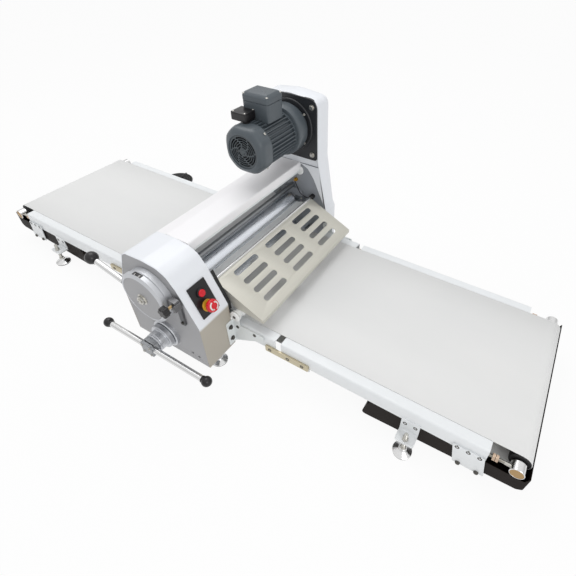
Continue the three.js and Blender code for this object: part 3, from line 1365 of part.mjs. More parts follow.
// A smooth run of evenly spaced points through a hand-made route, its first and last runs kept straight
function smoothRun(points) {
  const curve = new THREE.CatmullRomCurve3(points, false, 'centripetal');
  const steps = Math.ceil(curve.getLength() / (cord.stepDiameters * 2 * cord.radius));
  const [first, second] = points;
  const [beforeLast, last] = points.slice(-2);
  const clear = cord.endClearance;
  const between = curve.getSpacedPoints(steps)
    .filter((point) => point.distanceTo(second) > clear && point.distanceTo(beforeLast) > clear)
    .filter((point) => point.distanceTo(first) > clear && point.distanceTo(last) > clear);
  return [first, second, ...between, beforeLast, last];
}

function addCord() {
  const turns = withStraightEnds(coilPoints());
  const first = turns[0];
  const last = turns[turns.length - 1];
  const diameter = 2 * cord.radius;
  const towardsStart = first.clone().sub(turns[1]).normalize();
  const towardsEnd = last.clone().sub(turns[turns.length - 2]).normalize();
  const feedEnd = first.clone().addScaledVector(towardsStart, seatGap);
  const exit = new THREE.Vector3(glandEnd - seatGap, cord.exitY, cord.exitZ);
  const feed = smoothRun([
    exit, exit.clone().setX(exit.x - diameter),
    ...feedRoute.slice(1).map((point) => new THREE.Vector3(...point)),
    feedEnd.clone().addScaledVector(towardsStart, diameter), feedEnd,
  ]);
  const tailStart = last.clone().addScaledVector(towardsEnd, seatGap);
  const plugX = tailRoute[tailRoute.length - 1][0] - plug.lead;
  const plugFace = new THREE.Vector3(plugX, tailRoute[0][1], plugHeight);
  const tail = smoothRun([
    tailStart, tailStart.clone().addScaledVector(towardsEnd, diameter),
    ...tailRoute.slice(1).map((point) => new THREE.Vector3(...point)),
    plugFace.clone().setX(plugFace.x + diameter), plugFace,
  ]);
  addPiece('cord_gland', cordGland(), 'blackPlastic');
  addPiece('power_cord', sweptTube(feed, cord.radius, cord.sides), 'rubber');
  addPiece('cord_coil', sweptTube(turns, cord.radius, coilSides), 'rubber');
  addPiece('cord_tail', sweptTube(tail, cord.radius, cord.sides), 'rubber');
  addPiece('power_plug', plugGeometry(plugFace), 'blackPlastic');
  console.log('least gap between the coil\'s turns:', leastSelfGap(turns).toFixed(2));
  const length = [feed, turns, tail].map((run) => run.slice(1).reduce(
    (sum, point, i) => sum + point.distanceTo(run[i]), 0));
  console.log('cord length in its three runs:', length.map((value) => value.toFixed(0)).join(' '));
}

// A plug with two round pins, its neck facing the cord
function plugGeometry(face) {
  const neckEnd = face.x - seatGap - plug.neckLength;
  const bodyEnd = neckEnd - plug.length;
  return geometryOf(joined([
    barX(plug.neckRadius, neckEnd - seatGap, face.x - seatGap, face.y, face.z, 12),
    barX(plug.radius, bodyEnd, neckEnd, face.y, face.z, 12),
    ...[-1, 1].map((side) => barX(plug.pinRadius, bodyEnd - plug.pinLength, bodyEnd + seatGap,
      face.y + side * plug.pinSpread, face.z, 8)),
  ]));
}

// The head
addPiece('head_frame', headFrame(), 'greyPaint');
addPiece('near_cover', nearCover(), 'silverPaint');
addPiece('near_face_plate', nearFacePlate(), 'greyPaint');
addPiece('far_cover', farCover(), 'silverPaint');
addPiece('column_plate', columnPlate(), 'greyPaint');
addPiece('bridge_cover', bridgeCover(), 'whitePaint');
addPiece('bridge_edge_rod', bridgeEdgeRod(), 'chrome');

// Rollers, carriage and lift
const rollerHalf = rollerFaceLength / 2;
addPiece('lower_roller', lowerRollerGeometry(), 'chrome');
addPiece('upper_roller', rollerGeometry(rollerRadius, rollerHalf, upperRoller.journalRadius,
  upperRoller.reach, 0, upperRoller.z), 'chrome');
addPiece('carriage_near', carriageGeometry(-1), 'steel');
addPiece('carriage_far', carriageGeometry(1), 'steel');
addPiece('lift_shaft', liftShaftGeometry(), 'steel');

// Operator's controls
addPiece('dial_ring', dialRing(), 'aluminium');
addPiece('thickness_dial', thicknessDial(), 'aluminium');
addPiece('thickness_lever', thicknessLever(), 'chrome');
addPiece('stop_clamp', stopClamp(), 'aluminium');
addPiece('clamp_knob', clampKnob(), 'blackPlastic');
addPiece('selector_hub', selectorHub(), 'aluminium');
addPiece('selector_bar', selectorBar(), 'chrome');
addPiece('control_panel', controlPanel(), 'blackPlastic');
addPiece('start_button', startButtonGeometry(), 'red');
addPiece('emergency_stop', stopButtonGeometry(), 'red');

// Motor and drive
addPiece('motor_adaptor_plate', adaptorPlate(), 'motorBlack');
addPiece('motor_end_bell', endBell(), 'motorGrey');
addPiece('motor_body', motorBody(), 'motorGrey');
addPiece('motor_fan_cover', fanCoverGeometry(), 'motorGrey');
addPiece('motor_rotor', motorRotor(), 'steel');
addPiece('terminal_box', terminalBoxGeometry(), 'motorGrey');
addPiece('drive_belt', driveBelt(), 'rubber');

// Pieces that are alike on both sides of the head
const sidePieces = [
  ['scraper', scraperGeometry(), 'nylon'],
  ['guard', guardGeometry(), 'stainless'],
  ['stub_frame', stubFrame(), 'whitePaint'],
  ['table_frame', tableFrame(), 'whitePaint'],
  ['table_belt', tableBelt(), 'beltWhite'],
  ['drive_roller', rollerGeometry(driveRoller.radius, beltHalf + endRoller.faceClearance,
    driveRoller.journalRadius, plateBack + bearing.depth, driveRoller.x, driveRollerZ), 'steel'],
  ['end_roller', endRollerGeometry(), 'steel'],
  ['take_up', takeUpGeometry(), 'steel'],
  ['catch_tray', catchTray(), 'trayBlack'],
];
sidePieces.forEach(([name, geometry, finish]) => {
  addPiece(`${name}_right`, geometry, finish);
  addPiece(`${name}_left`, mirroredGeometry(geometry, acrossX), finish);
});

// Feet
[['right', 1], ['left', -1]].forEach(([end, sign]) => {
  [['near', -1], ['far', 1]].forEach(([side, row]) => {
    addPiece(`head_foot_${end}_${side}`, footGeometry(sign * headFootX, row * footSideOffset), 'chrome');
    addPiece(`table_foot_${end}_${side}`, footGeometry(sign * tableFoot.x, row * tableFoot.y), 'chrome');
  });
});

addCord();

// Centres the machine on its origin between the selector's balls and the drive cover
part.position.y = (tBar.y + tBar.ballRadius - farFace) / 2;

export default part;
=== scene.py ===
"""Conveyor dough sheeter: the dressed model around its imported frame.

Lengths are in millimetres about the middle of the belt, X along the belts, Y from the operator's
side to the drive side, Z up from the bench. A finished mesh is moved to the frame once, in metres.
"""
import math

import bmesh
import bpy
import numpy as np
from mathutils import Matrix, Vector


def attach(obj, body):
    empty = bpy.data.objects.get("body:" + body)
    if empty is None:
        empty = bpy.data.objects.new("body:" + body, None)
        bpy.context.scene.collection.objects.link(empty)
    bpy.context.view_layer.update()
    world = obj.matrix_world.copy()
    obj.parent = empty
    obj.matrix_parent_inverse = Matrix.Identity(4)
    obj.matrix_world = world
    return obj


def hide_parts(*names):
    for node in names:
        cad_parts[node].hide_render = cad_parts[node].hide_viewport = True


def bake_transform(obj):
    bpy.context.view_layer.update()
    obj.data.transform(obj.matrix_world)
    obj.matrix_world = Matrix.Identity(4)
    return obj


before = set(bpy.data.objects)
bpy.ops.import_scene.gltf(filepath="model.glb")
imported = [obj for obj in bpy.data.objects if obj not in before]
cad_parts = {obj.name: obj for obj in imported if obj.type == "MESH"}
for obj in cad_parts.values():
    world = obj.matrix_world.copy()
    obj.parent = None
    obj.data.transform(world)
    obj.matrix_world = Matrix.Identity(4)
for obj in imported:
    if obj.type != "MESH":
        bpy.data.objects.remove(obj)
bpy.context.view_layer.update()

METRE = 1000.0
BELT_MIDDLE = 67.5
TURN = 2 * math.pi

# ---------------------------------------------------------------- camera

CAMERA_PLACE = (850.9, -892.4, 1173.4)
CAMERA_YAW, CAMERA_PITCH, CAMERA_ROLL = (math.radians(a) for a in (29.8, 39.88, 1.22))
PICTURE = 576
CAMERA_FOCUS = 414.3 / PICTURE
CAMERA_CENTRE = (328.0 / PICTURE, 253.3 / PICTURE)
SENSOR = 36


def frame_point(point):
    """A point in millimetres as a point of the frame, in metres."""
    return Vector((point[0] / METRE, (point[1] + BELT_MIDDLE) / METRE, point[2] / METRE))


def put(name, data):
    """A new object in the scene for a mesh, a camera, a lamp or a curve."""
    thing = bpy.data.objects.new(name, data)
    bpy.context.collection.objects.link(thing)
    return thing


def set_camera():
    """The fitted viewpoint: yaw, then pitch, then roll about the line of sight."""
    data = bpy.data.cameras.new("view")
    data.sensor_width = SENSOR
    data.lens = CAMERA_FOCUS * SENSOR
    data.shift_x, data.shift_y = 0.5 - CAMERA_CENTRE[0], CAMERA_CENTRE[1] - 0.5
    data.clip_start, data.clip_end = 0.05, 60
    sine, cosine = math.sin(CAMERA_YAW), math.cos(CAMERA_YAW)
    sight = Vector((-sine * math.cos(CAMERA_PITCH), cosine * math.cos(CAMERA_PITCH), -math.sin(CAMERA_PITCH)))
    level = Vector((cosine, sine, 0))
    right = math.cos(CAMERA_ROLL) * level + math.sin(CAMERA_ROLL) * level.cross(sight)
    camera = put("view", data)
    basis = Matrix((right, right.cross(sight), -sight)).transposed().to_4x4()
    camera.matrix_world = Matrix.Translation(frame_point(CAMERA_PLACE)) @ basis
    bpy.context.scene.camera = camera


# ---------------------------------------------------------------- shader words

def either_way(operation):
    """A Math operation as an operator and as its reflected form."""
    return (lambda value, other: value.math(operation, value, other),
        lambda value, other: value.math(operation, other, value))


class Value:
    """A number that varies over a surface; its operators add Math nodes to its own tree."""

    __add__, __radd__ = either_way("ADD")
    __sub__, __rsub__ = either_way("SUBTRACT")
    __mul__, __rmul__ = either_way("MULTIPLY")
    __pow__, __rpow__ = either_way("POWER")

    def __init__(self, tree, socket):
        self.tree, self.socket = tree, socket

    def math(self, operation, first, second=None):
        node = self.tree.nodes.new("ShaderNodeMath")
        node.operation = operation
        for socket, value in zip(node.inputs, (first, second)):
            if isinstance(value, Value):
                self.tree.links.new(value.socket, socket)
            elif value is not None:
                socket.default_value = value
        return Value(self.tree, node.outputs[0])

    def above(self, other):
        return self.math("GREATER_THAN", self, other)

    def wave(self):
        return self.math("SINE", self)

    def at_most(self, other):
        return self.math("MINIMUM", self, other)


class Nodes:
    """The nodes of a material or of the air."""

    def __init__(self, owner):
        owner.use_nodes = True
        self.tree = owner.node_tree

    def add(self, kind, settings=None, sockets=None, output=0):
        """A node of a kind, its settings first and then the values or links of its sockets."""
        node = self.tree.nodes.new("ShaderNode" + kind)
        for key, value in (settings or {}).items():
            if key == "stops":
                ramp = node.color_ramp.elements
                while len(ramp) < len(value):
                    ramp.new(0.5)
                for element, (position, colour) in zip(ramp, value):
                    element.position, element.color = position, colour
            else:
                setattr(node, key, value)
        self.fill(node, sockets or {})
        return Value(self.tree, node.outputs[output])

    def fill(self, node, sockets):
        """A node's sockets given numbers, colours or links."""
        for key, value in sockets.items():
            if isinstance(value, Value):
                self.tree.links.new(value.socket, node.inputs[key])
            else:
                node.inputs[key].default_value = value

    def rays(self, *kinds):
        """One where the surface is met by rays of one of these kinds, else zero."""
        return sum(self.add("LightPath", output=f"Is {kind} Ray") for kind in kinds)


class Recipe(Nodes):
    """One material: the nodes that give a finish its colour, gloss and relief."""

    def __init__(self, name):
        self.material = bpy.data.materials.new(name)
        super().__init__(self.material)
        self.surface = self.tree.nodes["Principled BSDF"]
        self.place = self.add("TexCoord", output="Object")

    def axis(self, letter):
        """One coordinate of the place on the piece, in metres."""
        return self.add("SeparateXYZ", sockets={0: self.place}, output=letter)

    def noise(self, scale, detail=3.0, stretch=None):
        """Cloudy noise, or streaks where the place is stretched along the axes."""
        place = self.place
        if stretch:
            place = self.add("Mapping", sockets={"Vector": place, "Scale": stretch})
        return self.add("TexNoise", sockets={"Vector": place, "Scale": scale, "Detail": detail})

    def mix(self, share, first, second):
        """A colour between two colours."""
        return self.add("Mix", {"data_type": "RGBA"}, {0: share, 6: first, 7: second}, output=2)

    def clouded(self, share, colour, lighter, darker=None):
        """A colour that drifts between a darker and a lighter level of itself."""
        return self.mix(share, shade(colour, 1 - (darker or lighter)), shade(colour, 1 + lighter))

    def relief(self, height, depth, strength=1.0):
        """A bump of so many millimetres."""
        return self.add("Bump", sockets={"Height": height, "Distance": depth / METRE, "Strength": strength})

    def finish(self, **sockets):
        """The values or links of the shader's own sockets."""
        self.fill(self.surface, {key.replace("_", " "): value for key, value in sockets.items()})
        return self.material


def shade(colour, level=1.0):
    """A colour as the shader takes it, lighter or darker by a level."""
    return tuple(min(c * level, 1.0) for c in colour) + (1.0,)


def tone(red, green, blue):
    """A colour given as it looks, from 0 to 255, as a share of light."""
    return tuple(((c / 255 + 0.055) / 1.055) ** 2.4 for c in (red, green, blue))


# Where the painted shade on the near cover's lower flanks begins, in millimetres.
SHADED_FLANK_X, SHADED_FLANK_TOP = 155, 242
LOW_DARK_TONE = (120, 110, 98)


def painted(name, colour, roughness=0.4, mottle=0.05, peel=0.02, coat=0.25, metallic=0.0, low_darkening=0.0,
        flank_shade=None, gloss=0.5):
    """Sprayed paint: slow mottling, a fine orange peel, and a brownish darkening towards the bottom, broken
    by noise.

    A darker, warmer flank colour is painted on the upright ends of the near cover below its slope, on the
    operator's side only: painted shade for the lower faces that turn away from the light.
    """
    r = Recipe(name)
    clouds = r.noise(5.0, 4.0)
    speck = r.noise(700.0, 2.0)
    base = r.clouded(clouds, colour, mottle)
    # Painted shade: the near cover's lower upright ends, below the slope and on the operator's side, take the
    # darker flank colour.
    if flank_shade:
        side = ((r.axis("X") ** 2.0) ** 0.5).above(SHADED_FLANK_X / METRE)
        below = ((SHADED_FLANK_TOP / METRE - r.axis("Z")) * 90.0).at_most(1.0)
        base = r.mix(side * below * (-1.0 * r.axis("Y")).above(0.0), base, shade(tone(*flank_shade)))
    # Darker and browner towards the bottom, broken by noise.
    if low_darkening:
        low = r.add("ValToRGB", {"stops": [(0.0, (1, 1, 1, 1)), (1.0, (0, 0, 0, 1))]}, {0: r.axis("Z") * 6.0})
        base = r.mix(r.noise(38.0, 6.0) * low * low_darkening, base, shade(tone(*LOW_DARK_TONE)))
    return r.finish(Base_Color=base, Roughness=roughness + 0.1 * r.noise(30.0, 4.0) - 0.05, Metallic=metallic,
        Specular_IOR_Level=gloss, Coat_Weight=coat, Coat_Roughness=0.12, Normal=r.relief(speck, peel))


def drawn_metal(name, colour, roughness, stretch, streak=0.1, depth=0.02, metallic=1.0):
    """Metal with straight marks: noise stretched along the way it was drawn or brushed."""
    r = Recipe(name)
    marks = r.noise(1.0, 5.0, stretch)
    clouds = r.noise(9.0, 3.0)
    base = r.clouded(marks, colour, streak)
    roughness = roughness + 0.14 * marks + 0.06 * clouds - 0.1
    return r.finish(Base_Color=base, Metallic=metallic, Roughness=roughness, Normal=r.relief(marks, depth))


def turned_metal(name, colour, roughness, centre, streak=0.12, depth=0.02, pitch=0.6, metallic=1.0):
    """Metal turned on a lathe: fine rings whose tone is noise on the distance from a centre in X and Z."""
    r = Recipe(name)
    across = r.axis("X") - centre[0] / METRE
    height = r.axis("Z") - centre[1] / METRE
    reach = (across ** 2.0 + height ** 2.0) ** 0.5
    rings = r.add("TexNoise", {"noise_dimensions": "1D"}, {"W": reach * METRE, "Scale": 1 / pitch,
        "Detail": 3.0})
    clouds = r.noise(14.0, 4.0)
    base = r.clouded(rings, colour, streak)
    roughness = roughness + 0.16 * rings + 0.06 * clouds - 0.1
    return r.finish(Base_Color=base, Metallic=metallic, Roughness=roughness, Normal=r.relief(rings, depth))


def moulded(name, colour, roughness=0.4, grain=0.03, scale=900.0, mottle=0.08, metallic=0.0):
    """Plastic, rubber or plating: an even colour with a fine grain."""
    r = Recipe(name)
    clouds = r.noise(24.0, 3.0)
    base = r.clouded(clouds, colour, mottle)
    return r.finish(Base_Color=base, Roughness=roughness + 0.12 * r.noise(60.0, 3.0) - 0.06,
        Metallic=metallic, Normal=r.relief(r.noise(scale, 2.0), grain))


TWILL = 5200.0


def belt_cloth(name, colour, light):
    """Coated belt: a fine twill pressed through its face, faint flour haze and soft stripes along its run."""
    r = Recipe(name)
    x, y = r.axis("X"), r.axis("Y")
    weave = ((x + y) * TWILL).wave() * ((x - y) * TWILL).wave()
    haze = r.noise(3.2, 5.0, (0.6, 1.6, 1.0))
    base = r.mix(haze, shade(colour), shade(tone(*light)))
    return r.finish(Base_Color=base, Roughness=0.5 + 0.12 * r.noise(14.0, 4.0), Coat_Weight=0.12,
        Coat_Roughness=0.35, Normal=r.relief(weave, 0.03, 0.5))


def cast_paint(name, colour, roughness):
    """Enamel on a rough casting: coarse grains under a satin colour."""
    r = Recipe(name)
    grains = r.noise(210.0, 5.0)
    base = r.clouded(r.noise(18.0, 4.0), colour, 0.12, 0.14)
    return r.finish(Base_Color=base, Roughness=roughness + 0.12 * r.noise(60.0, 3.0) - 0.05, Coat_Weight=0.15,
        Coat_Roughness=0.3, Normal=r.relief(grains, 0.12))


# A finish is named by the record's slot that it belongs to, then by a word of its own. A row gives how it
# is made, its colour as it looks, from 0 to 255, and the maker's other values.
ROWS_OF_FINISH = {
    # Silver paint's last colour is the painted shade on the near cover's lower flanks.
    "silver_paint": (painted, (238, 241, 246), 0.36, 0.02, 0.015, 0.3, 0.0, 0.0, (178, 171, 158)),
    "white_paint": (painted, (240, 243, 245), 0.4, 0.02, 0.02, 0.3, 0.0, 0.25),
    "white_paint/bridge": (painted, (250, 249, 251), 0.4, 0.01, 0.015, 0.05),
    "grey_paint": (painted, (158, 162, 168), 0.5, 0.05, 0.03, 0.15, 0.2),
    "grey_paint/face": (drawn_metal, (170, 170, 172), 0.52, (9.0, 9.0, 260.0), 0.07, 0.01, 0.4),
    "stainless": (drawn_metal, (206, 204, 194), 0.48, (420.0, 6.0, 420.0), 0.05, 0.012, 0.45),
    "chrome/roller": (drawn_metal, (228, 232, 238), 0.28, (500.0, 14.0, 500.0), 0.03, 0.004),
    "chrome": (drawn_metal, (222, 222, 222), 0.18, (30.0, 300.0, 300.0), 0.05, 0.006),
    "steel": (drawn_metal, (150, 152, 155), 0.34, (60.0,) * 3, 0.12, 0.02),
    "steel/zinc": (moulded, (196, 194, 188), 0.28, 0.02, 600.0, 0.08, 1.0),
    "aluminium/dial": (turned_metal, (204, 206, 210), 0.44, (0, 317), 0.06, 0.015, 0.6, 0.5),
    "aluminium/dial_face": (turned_metal, (166, 166, 168), 0.46, (0, 317), 0.05, 0.012, 0.6, 0.4),
    "aluminium/selector": (turned_metal, (198, 200, 204), 0.36, (0, 137), 0.14, 0.02, 0.6),
    "belt_white": (belt_cloth, (226, 227, 227), (236, 236, 235)),
    "black_plastic": (moulded, (24, 22, 24), 0.32, 0.02),
    "tray_black": (painted, (26, 19, 15), 0.55, 0.1, 0.03, 0.0, 0.0, 0.0, None, 0.12),
    "motor_grey": (cast_paint, (78, 86, 92), 0.42),
    "motor_black": (cast_paint, (34, 36, 40), 0.4),
    "rubber": (moulded, (26, 26, 27), 0.6, 0.05, 500.0),
    "nylon": (moulded, (240, 241, 240), 0.42, 0.02),
    "red_plastic": (moulded, (214, 18, 38), 0.25, 0.008),
    "nylon/yellow": (moulded, (214, 160, 30), 0.35, 0.02),
    "steel/stud": (drawn_metal, (222, 202, 166), 0.34, (80.0,) * 3, 0.1, 0.01),
    "aluminium/clamp": (drawn_metal, (112, 112, 114), 0.36, (70.0,) * 3, 0.12, 0.02, 0.8),
    "steel/brass": (drawn_metal, (196, 150, 62), 0.3, (80.0,) * 3, 0.1, 0.01),
    "steel/copper": (drawn_metal, (208, 184, 162), 0.34, (90.0,) * 3, 0.1, 0.01),
    "stainless/bracket": (drawn_metal, (232, 236, 236), 0.45, (30.0,) * 3, 0.03, 0.01, 0.15),
    "stainless/bar": (drawn_metal, (196, 186, 160), 0.36, (8.0, 200.0, 260.0), 0.06, 0.012, 0.8),
    "steel/black": (drawn_metal, (88, 86, 82), 0.4, (90.0,) * 3, 0.12, 0.01, 0.9),
    "motor_grey/dark": (cast_paint, (62, 70, 75), 0.45),
    "steel/bronze": (turned_metal, (176, 146, 102), 0.42, (1042, 128), 0.1, 0.02),
    "nylon/print": (moulded, (236, 236, 234), 0.5, 0.01),
}
FINISHES = {key: make(key.replace("/", "_"), tone(*colour), *rest)
    for key, (make, colour, *rest) in ROWS_OF_FINISH.items()}


# ---------------------------------------------------------------- shapes

X, Y, Z = (1, 0, 0), (0, 1, 0), (0, 0, 1)
LEFT, NEAR = (-1, 0, 0), (0, -1, 0)
PLANES = {"XZ": (0, 2, 1), "XY": (0, 1, 2), "YZ": (1, 2, 0)}


def in_plane(points, depth, plane):
    """Flat points laid in a plane, at a depth along the axis square to it."""
    points = np.asarray(points, float)
    first, second, across = PLANES[plane]
    out = np.empty(points.shape[:-1] + (3,))
    out[..., first], out[..., second], out[..., across] = points[..., 0], points[..., 1], depth
    return out


def grid_faces(rows, columns, round_rows=False, round_columns=True):
    """Four-sided faces between neighbouring points of a grid."""
    i = np.arange(rows if round_rows else rows - 1)[:, None]
    j = np.arange(columns if round_columns else columns - 1)[None, :]
    down, right = (i + 1) % rows, (j + 1) % columns
    quads = [i * columns + j, i * columns + right, down * columns + right, down * columns + j]
    return np.stack(np.broadcast_arrays(*quads), -1).reshape(-1, 4).tolist()


class Shell:
    """Points and faces gathered for one piece."""

    def __init__(self, points=(), faces=()):
        self.points, self.faces = np.zeros((0, 3)), []
        self.add(points, faces)

    def add(self, points, faces):
        first = len(self.points)
        self.points = np.vstack([self.points, np.reshape(points, (-1, 3))])
        self.faces += [[first + k for k in face] for face in faces]
        return self

    def join(self, *others):
        for other in others:
            self.add(other.points, other.faces)
        return self

    def flipped(self, sign, axis=0):
        """The same shape, or its mirror image across the middle plane of X or Y."""
        other = Shell(self.points, self.faces)
        other.points[:, axis] *= sign
        return other

    def laid(self, at, along, out):
        """The shape made flat, its X, Y and Z turned to along, to Y and to out, from a point."""
        return Shell(at + self.points @ np.array((along, Y, out)), self.faces)


def joined(shells):
    """Many shapes as one."""
    return Shell().join(*shells)


def tube(points):
    """A grid of points joined ring by ring into a wall, and closed at both ends."""
    rows, columns = points.shape[:2]
    ends = [list(range(columns))[::-1], [(rows - 1) * columns + i for i in range(columns)]]
    return Shell(points, grid_faces(rows, columns) + ends)


def both_sides(shell):
    """A shape and its mirror image on the other side of the belt."""
    return joined([shell, shell.flipped(-1, 1)])


def axes_of(axis):
    """Two unit vectors square to an axis, and the axis itself."""
    w = np.asarray(axis, float)
    w = w / np.linalg.norm(w)
    u = np.cross((0, 0, 1) if abs(w[2]) < 0.9 else (1, 0, 0), w)
    u = u / np.linalg.norm(u)
    return u, np.cross(w, u), w


def turned(profile, at, axis=Y, steps=48):
    """A profile of [radius, height, flatness] carried once round an axis.

    A point is at + height * axis + radius * k * (cos t * u + sin t * v), where k is 1 for a round row
    and the polar form of a hexagon, cos 30 / cos(t mod 60 - 30 degrees), for a row of flatness 1.
    """
    rows = np.array([tuple(row) + (0,) * (3 - len(row)) for row in profile], float)
    u, v, w = axes_of(axis)
    t = np.linspace(0, TURN, steps, endpoint=False)
    hexagon = math.cos(math.pi / 6) / np.cos(np.mod(t, math.pi / 3) - math.pi / 6)
    k = 1 + rows[:, 2:3] * (hexagon[None, :] - 1)
    round_ = np.cos(t)[:, None] * u + np.sin(t)[:, None] * v
    points = np.asarray(at, float) + rows[:, 1, None, None] * w + (rows[:, 0:1] * k)[..., None] * round_
    if rows[0, 0] > 0 and not np.allclose(rows[0], rows[-1]):
        return tube(points)
    return Shell(points, grid_faces(len(rows), steps))


def rod(radius, low, high, cut=0.0, back=None):
    """The profile of a round bar, its ends drawn in by a cut over a length back."""
    back = cut if back is None else back
    if not cut:
        return [(0, low), (radius, low), (radius, high), (0, high)]
    return [(0, low), (radius - cut, low), (radius, low + back), (radius, high - back), (radius - cut, high),
        (0, high)]


def drawn(outline, low, high, plane="XZ"):
    """An outline in a plane carried straight across it from low to high, closed at both ends."""
    return tube(np.stack([in_plane(outline, low, plane), in_plane(outline, high, plane)]))


def oblong(x, z, *radius):
    """The corners of a rectangle between two values of each coordinate, with a radius if one is given."""
    return [(a, b, *radius) for a, b in ((x[0], z[0]), (x[1], z[0]), (x[1], z[1]), (x[0], z[1]))]


def slab(x, y, z):
    """A block between two values of each coordinate."""
    return drawn(oblong(x, z), *y)


def strip(half, wall):
    """The section of a sheet of a half width and a wall's thickness."""
    return [(0, -half), (0, half), (wall, half), (wall, -half)]


def bent(path, section, plane="XZ"):
    """A bent sheet: a section of [inward, depth] carried along an open path in a plane.

    Inward is the path's right-hand side; at a bend the section is widened by one over the cosine of
    half the turn, so that the wall keeps its thickness.
    """
    path = np.asarray(path, float)
    runs = np.diff(path, axis=0)
    runs = runs / np.linalg.norm(runs, axis=1)[:, None]
    normals = np.stack([runs[:, 1], -runs[:, 0]], 1)
    before, after = np.vstack([normals[:1], normals]), np.vstack([normals, normals[-1:]])
    middle = before + after
    middle = middle / np.linalg.norm(middle, axis=1)[:, None]
    middle = middle / np.sum(middle * before, axis=1)[:, None]
    section = np.asarray(section, float)
    flat = path[:, None, :] + section[None, :, 0, None] * middle[:, None, :]
    return tube(in_plane(flat, np.broadcast_to(section[None, :, 1], flat.shape[:2]), plane))


def rounded(corners, steps=8, closed=True):
    """A polyline whose corners [x, z, radius] are replaced by quadratic arcs."""
    count = len(corners)
    out = []
    for i, (x, z, r) in enumerate(corners):
        here = np.array((x, z), float)
        if not r or (not closed and i in (0, count - 1)):
            out.append(here[None, :])
            continue
        back = np.array(corners[i - 1][:2], float) - here
        on = np.array(corners[(i + 1) % count][:2], float) - here
        lengths = np.linalg.norm(back), np.linalg.norm(on)
        cosine = np.dot(back, on) / (lengths[0] * lengths[1])
        half = math.acos(np.clip(cosine, -1, 1)) / 2
        run = min(r / math.tan(half), lengths[0] / 2, lengths[1] / 2)
        start, end = here + back / lengths[0] * run, here + on / lengths[1] * run
        t = np.linspace(0, 1, steps + 1)[:, None]
        out.append((1 - t) ** 2 * start + 2 * t * (1 - t) * here + t ** 2 * end)
    return np.vstack(out)


def circle(x, z, radius, steps=24):
    """Points round a circle."""
    t = np.linspace(0, TURN, steps, endpoint=False)
    return np.stack([x + radius * np.cos(t), z + radius * np.sin(t)], 1)


def slot_outline(x, z, length, width, steps=10, upright=False):
    """A round-ended slot about its middle."""
    t = np.linspace(-math.pi / 2, math.pi / 2, steps)
    run, r = (length - width) / 2, width / 2
    end = np.stack([run + r * np.cos(t), r * np.sin(t)], 1)
    loop = np.vstack([end, -end])
    return (loop[:, ::-1] if upright else loop) + (x, z)


def flat_mesh(name, data):
    """The points and faces of a filled curve or a text, which is then thrown away."""
    holder = put(name, data)
    mesh = bpy.data.meshes.new_from_object(holder.evaluated_get(bpy.context.evaluated_depsgraph_get()))
    points = np.empty(len(mesh.vertices) * 3)
    mesh.vertices.foreach_get("co", points)
    faces = [list(p.vertices) for p in mesh.polygons]
    bpy.data.objects.remove(holder)
    bpy.data.curves.remove(data)
    bpy.data.meshes.remove(mesh)
    return points.reshape(-1, 3), faces


def pierced(outline, holes, low, high, plane="XZ", edge=0.4):
    """A plate cut from sheet: a filled outline with holes, thickness, and a small rounded edge."""
    curve = bpy.data.curves.new("cut_sheet", "CURVE")
    curve.dimensions, curve.fill_mode = "2D", "BOTH"
    curve.extrude, curve.bevel_depth = (high - low) / 2 - edge, edge
    curve.bevel_resolution, curve.offset = 1, -edge
    for loop in [outline] + list(holes):
        loop = np.asarray(loop, float)
        spline = curve.splines.new("POLY")
        spline.points.add(len(loop) - 1)
        spline.points.foreach_set("co", np.hstack([loop, np.full((len(loop), 2), (0.0, 1.0))]).ravel())
        spline.use_cyclic_u = True
    points, faces = flat_mesh("cut_sheet", curve)
    return Shell(in_plane(points[:, :2], points[:, 2] + (low + high) / 2, plane), faces)


def swept(path, radius, sides=16, up=Z):
    """A round section carried along a path: ring k lies at path + r * (cos a * side + sin a * over)."""
    path = np.asarray(path, float)
    along = np.gradient(path, axis=0)
    along = along / np.linalg.norm(along, axis=1)[:, None]
    side = np.cross(along, up)
    side = side / np.linalg.norm(side, axis=1)[:, None]
    over = np.cross(side, along)
    a = np.linspace(0, TURN, sides, endpoint=False)
    radius = np.broadcast_to(np.asarray(radius, float), (len(path),))[:, None, None]
    ring = np.cos(a)[None, :, None] * side[:, None, :] + np.sin(a)[None, :, None] * over[:, None, :]
    return tube(path[:, None, :] + radius * ring)


def smooth_line(points, spacing):
    """A Catmull-Rom line through points, resampled at even steps."""
    p = np.asarray(points, float)
    p = np.vstack([2 * p[0] - p[1], p, 2 * p[-1] - p[-2]])
    t = np.linspace(0, 1, 24, endpoint=False)[:, None]
    runs = []
    for i in range(1, len(p) - 2):
        a, b, c, d = p[i - 1:i + 3]
        cubic = 3 * b - a - 3 * c + d
        runs.append(0.5 * (2 * b + (c - a) * t + (2 * a - 5 * b + 4 * c - d) * t ** 2 + cubic * t ** 3))
    line = np.vstack(runs + [p[-2:-1]])
    reach = np.concatenate([[0], np.cumsum(np.linalg.norm(np.diff(line, axis=0), axis=1))])
    even = np.linspace(0, reach[-1], max(int(round(reach[-1] / spacing)), 2) + 1)
    return np.stack([np.interp(even, reach, line[:, k]) for k in range(3)], 1)


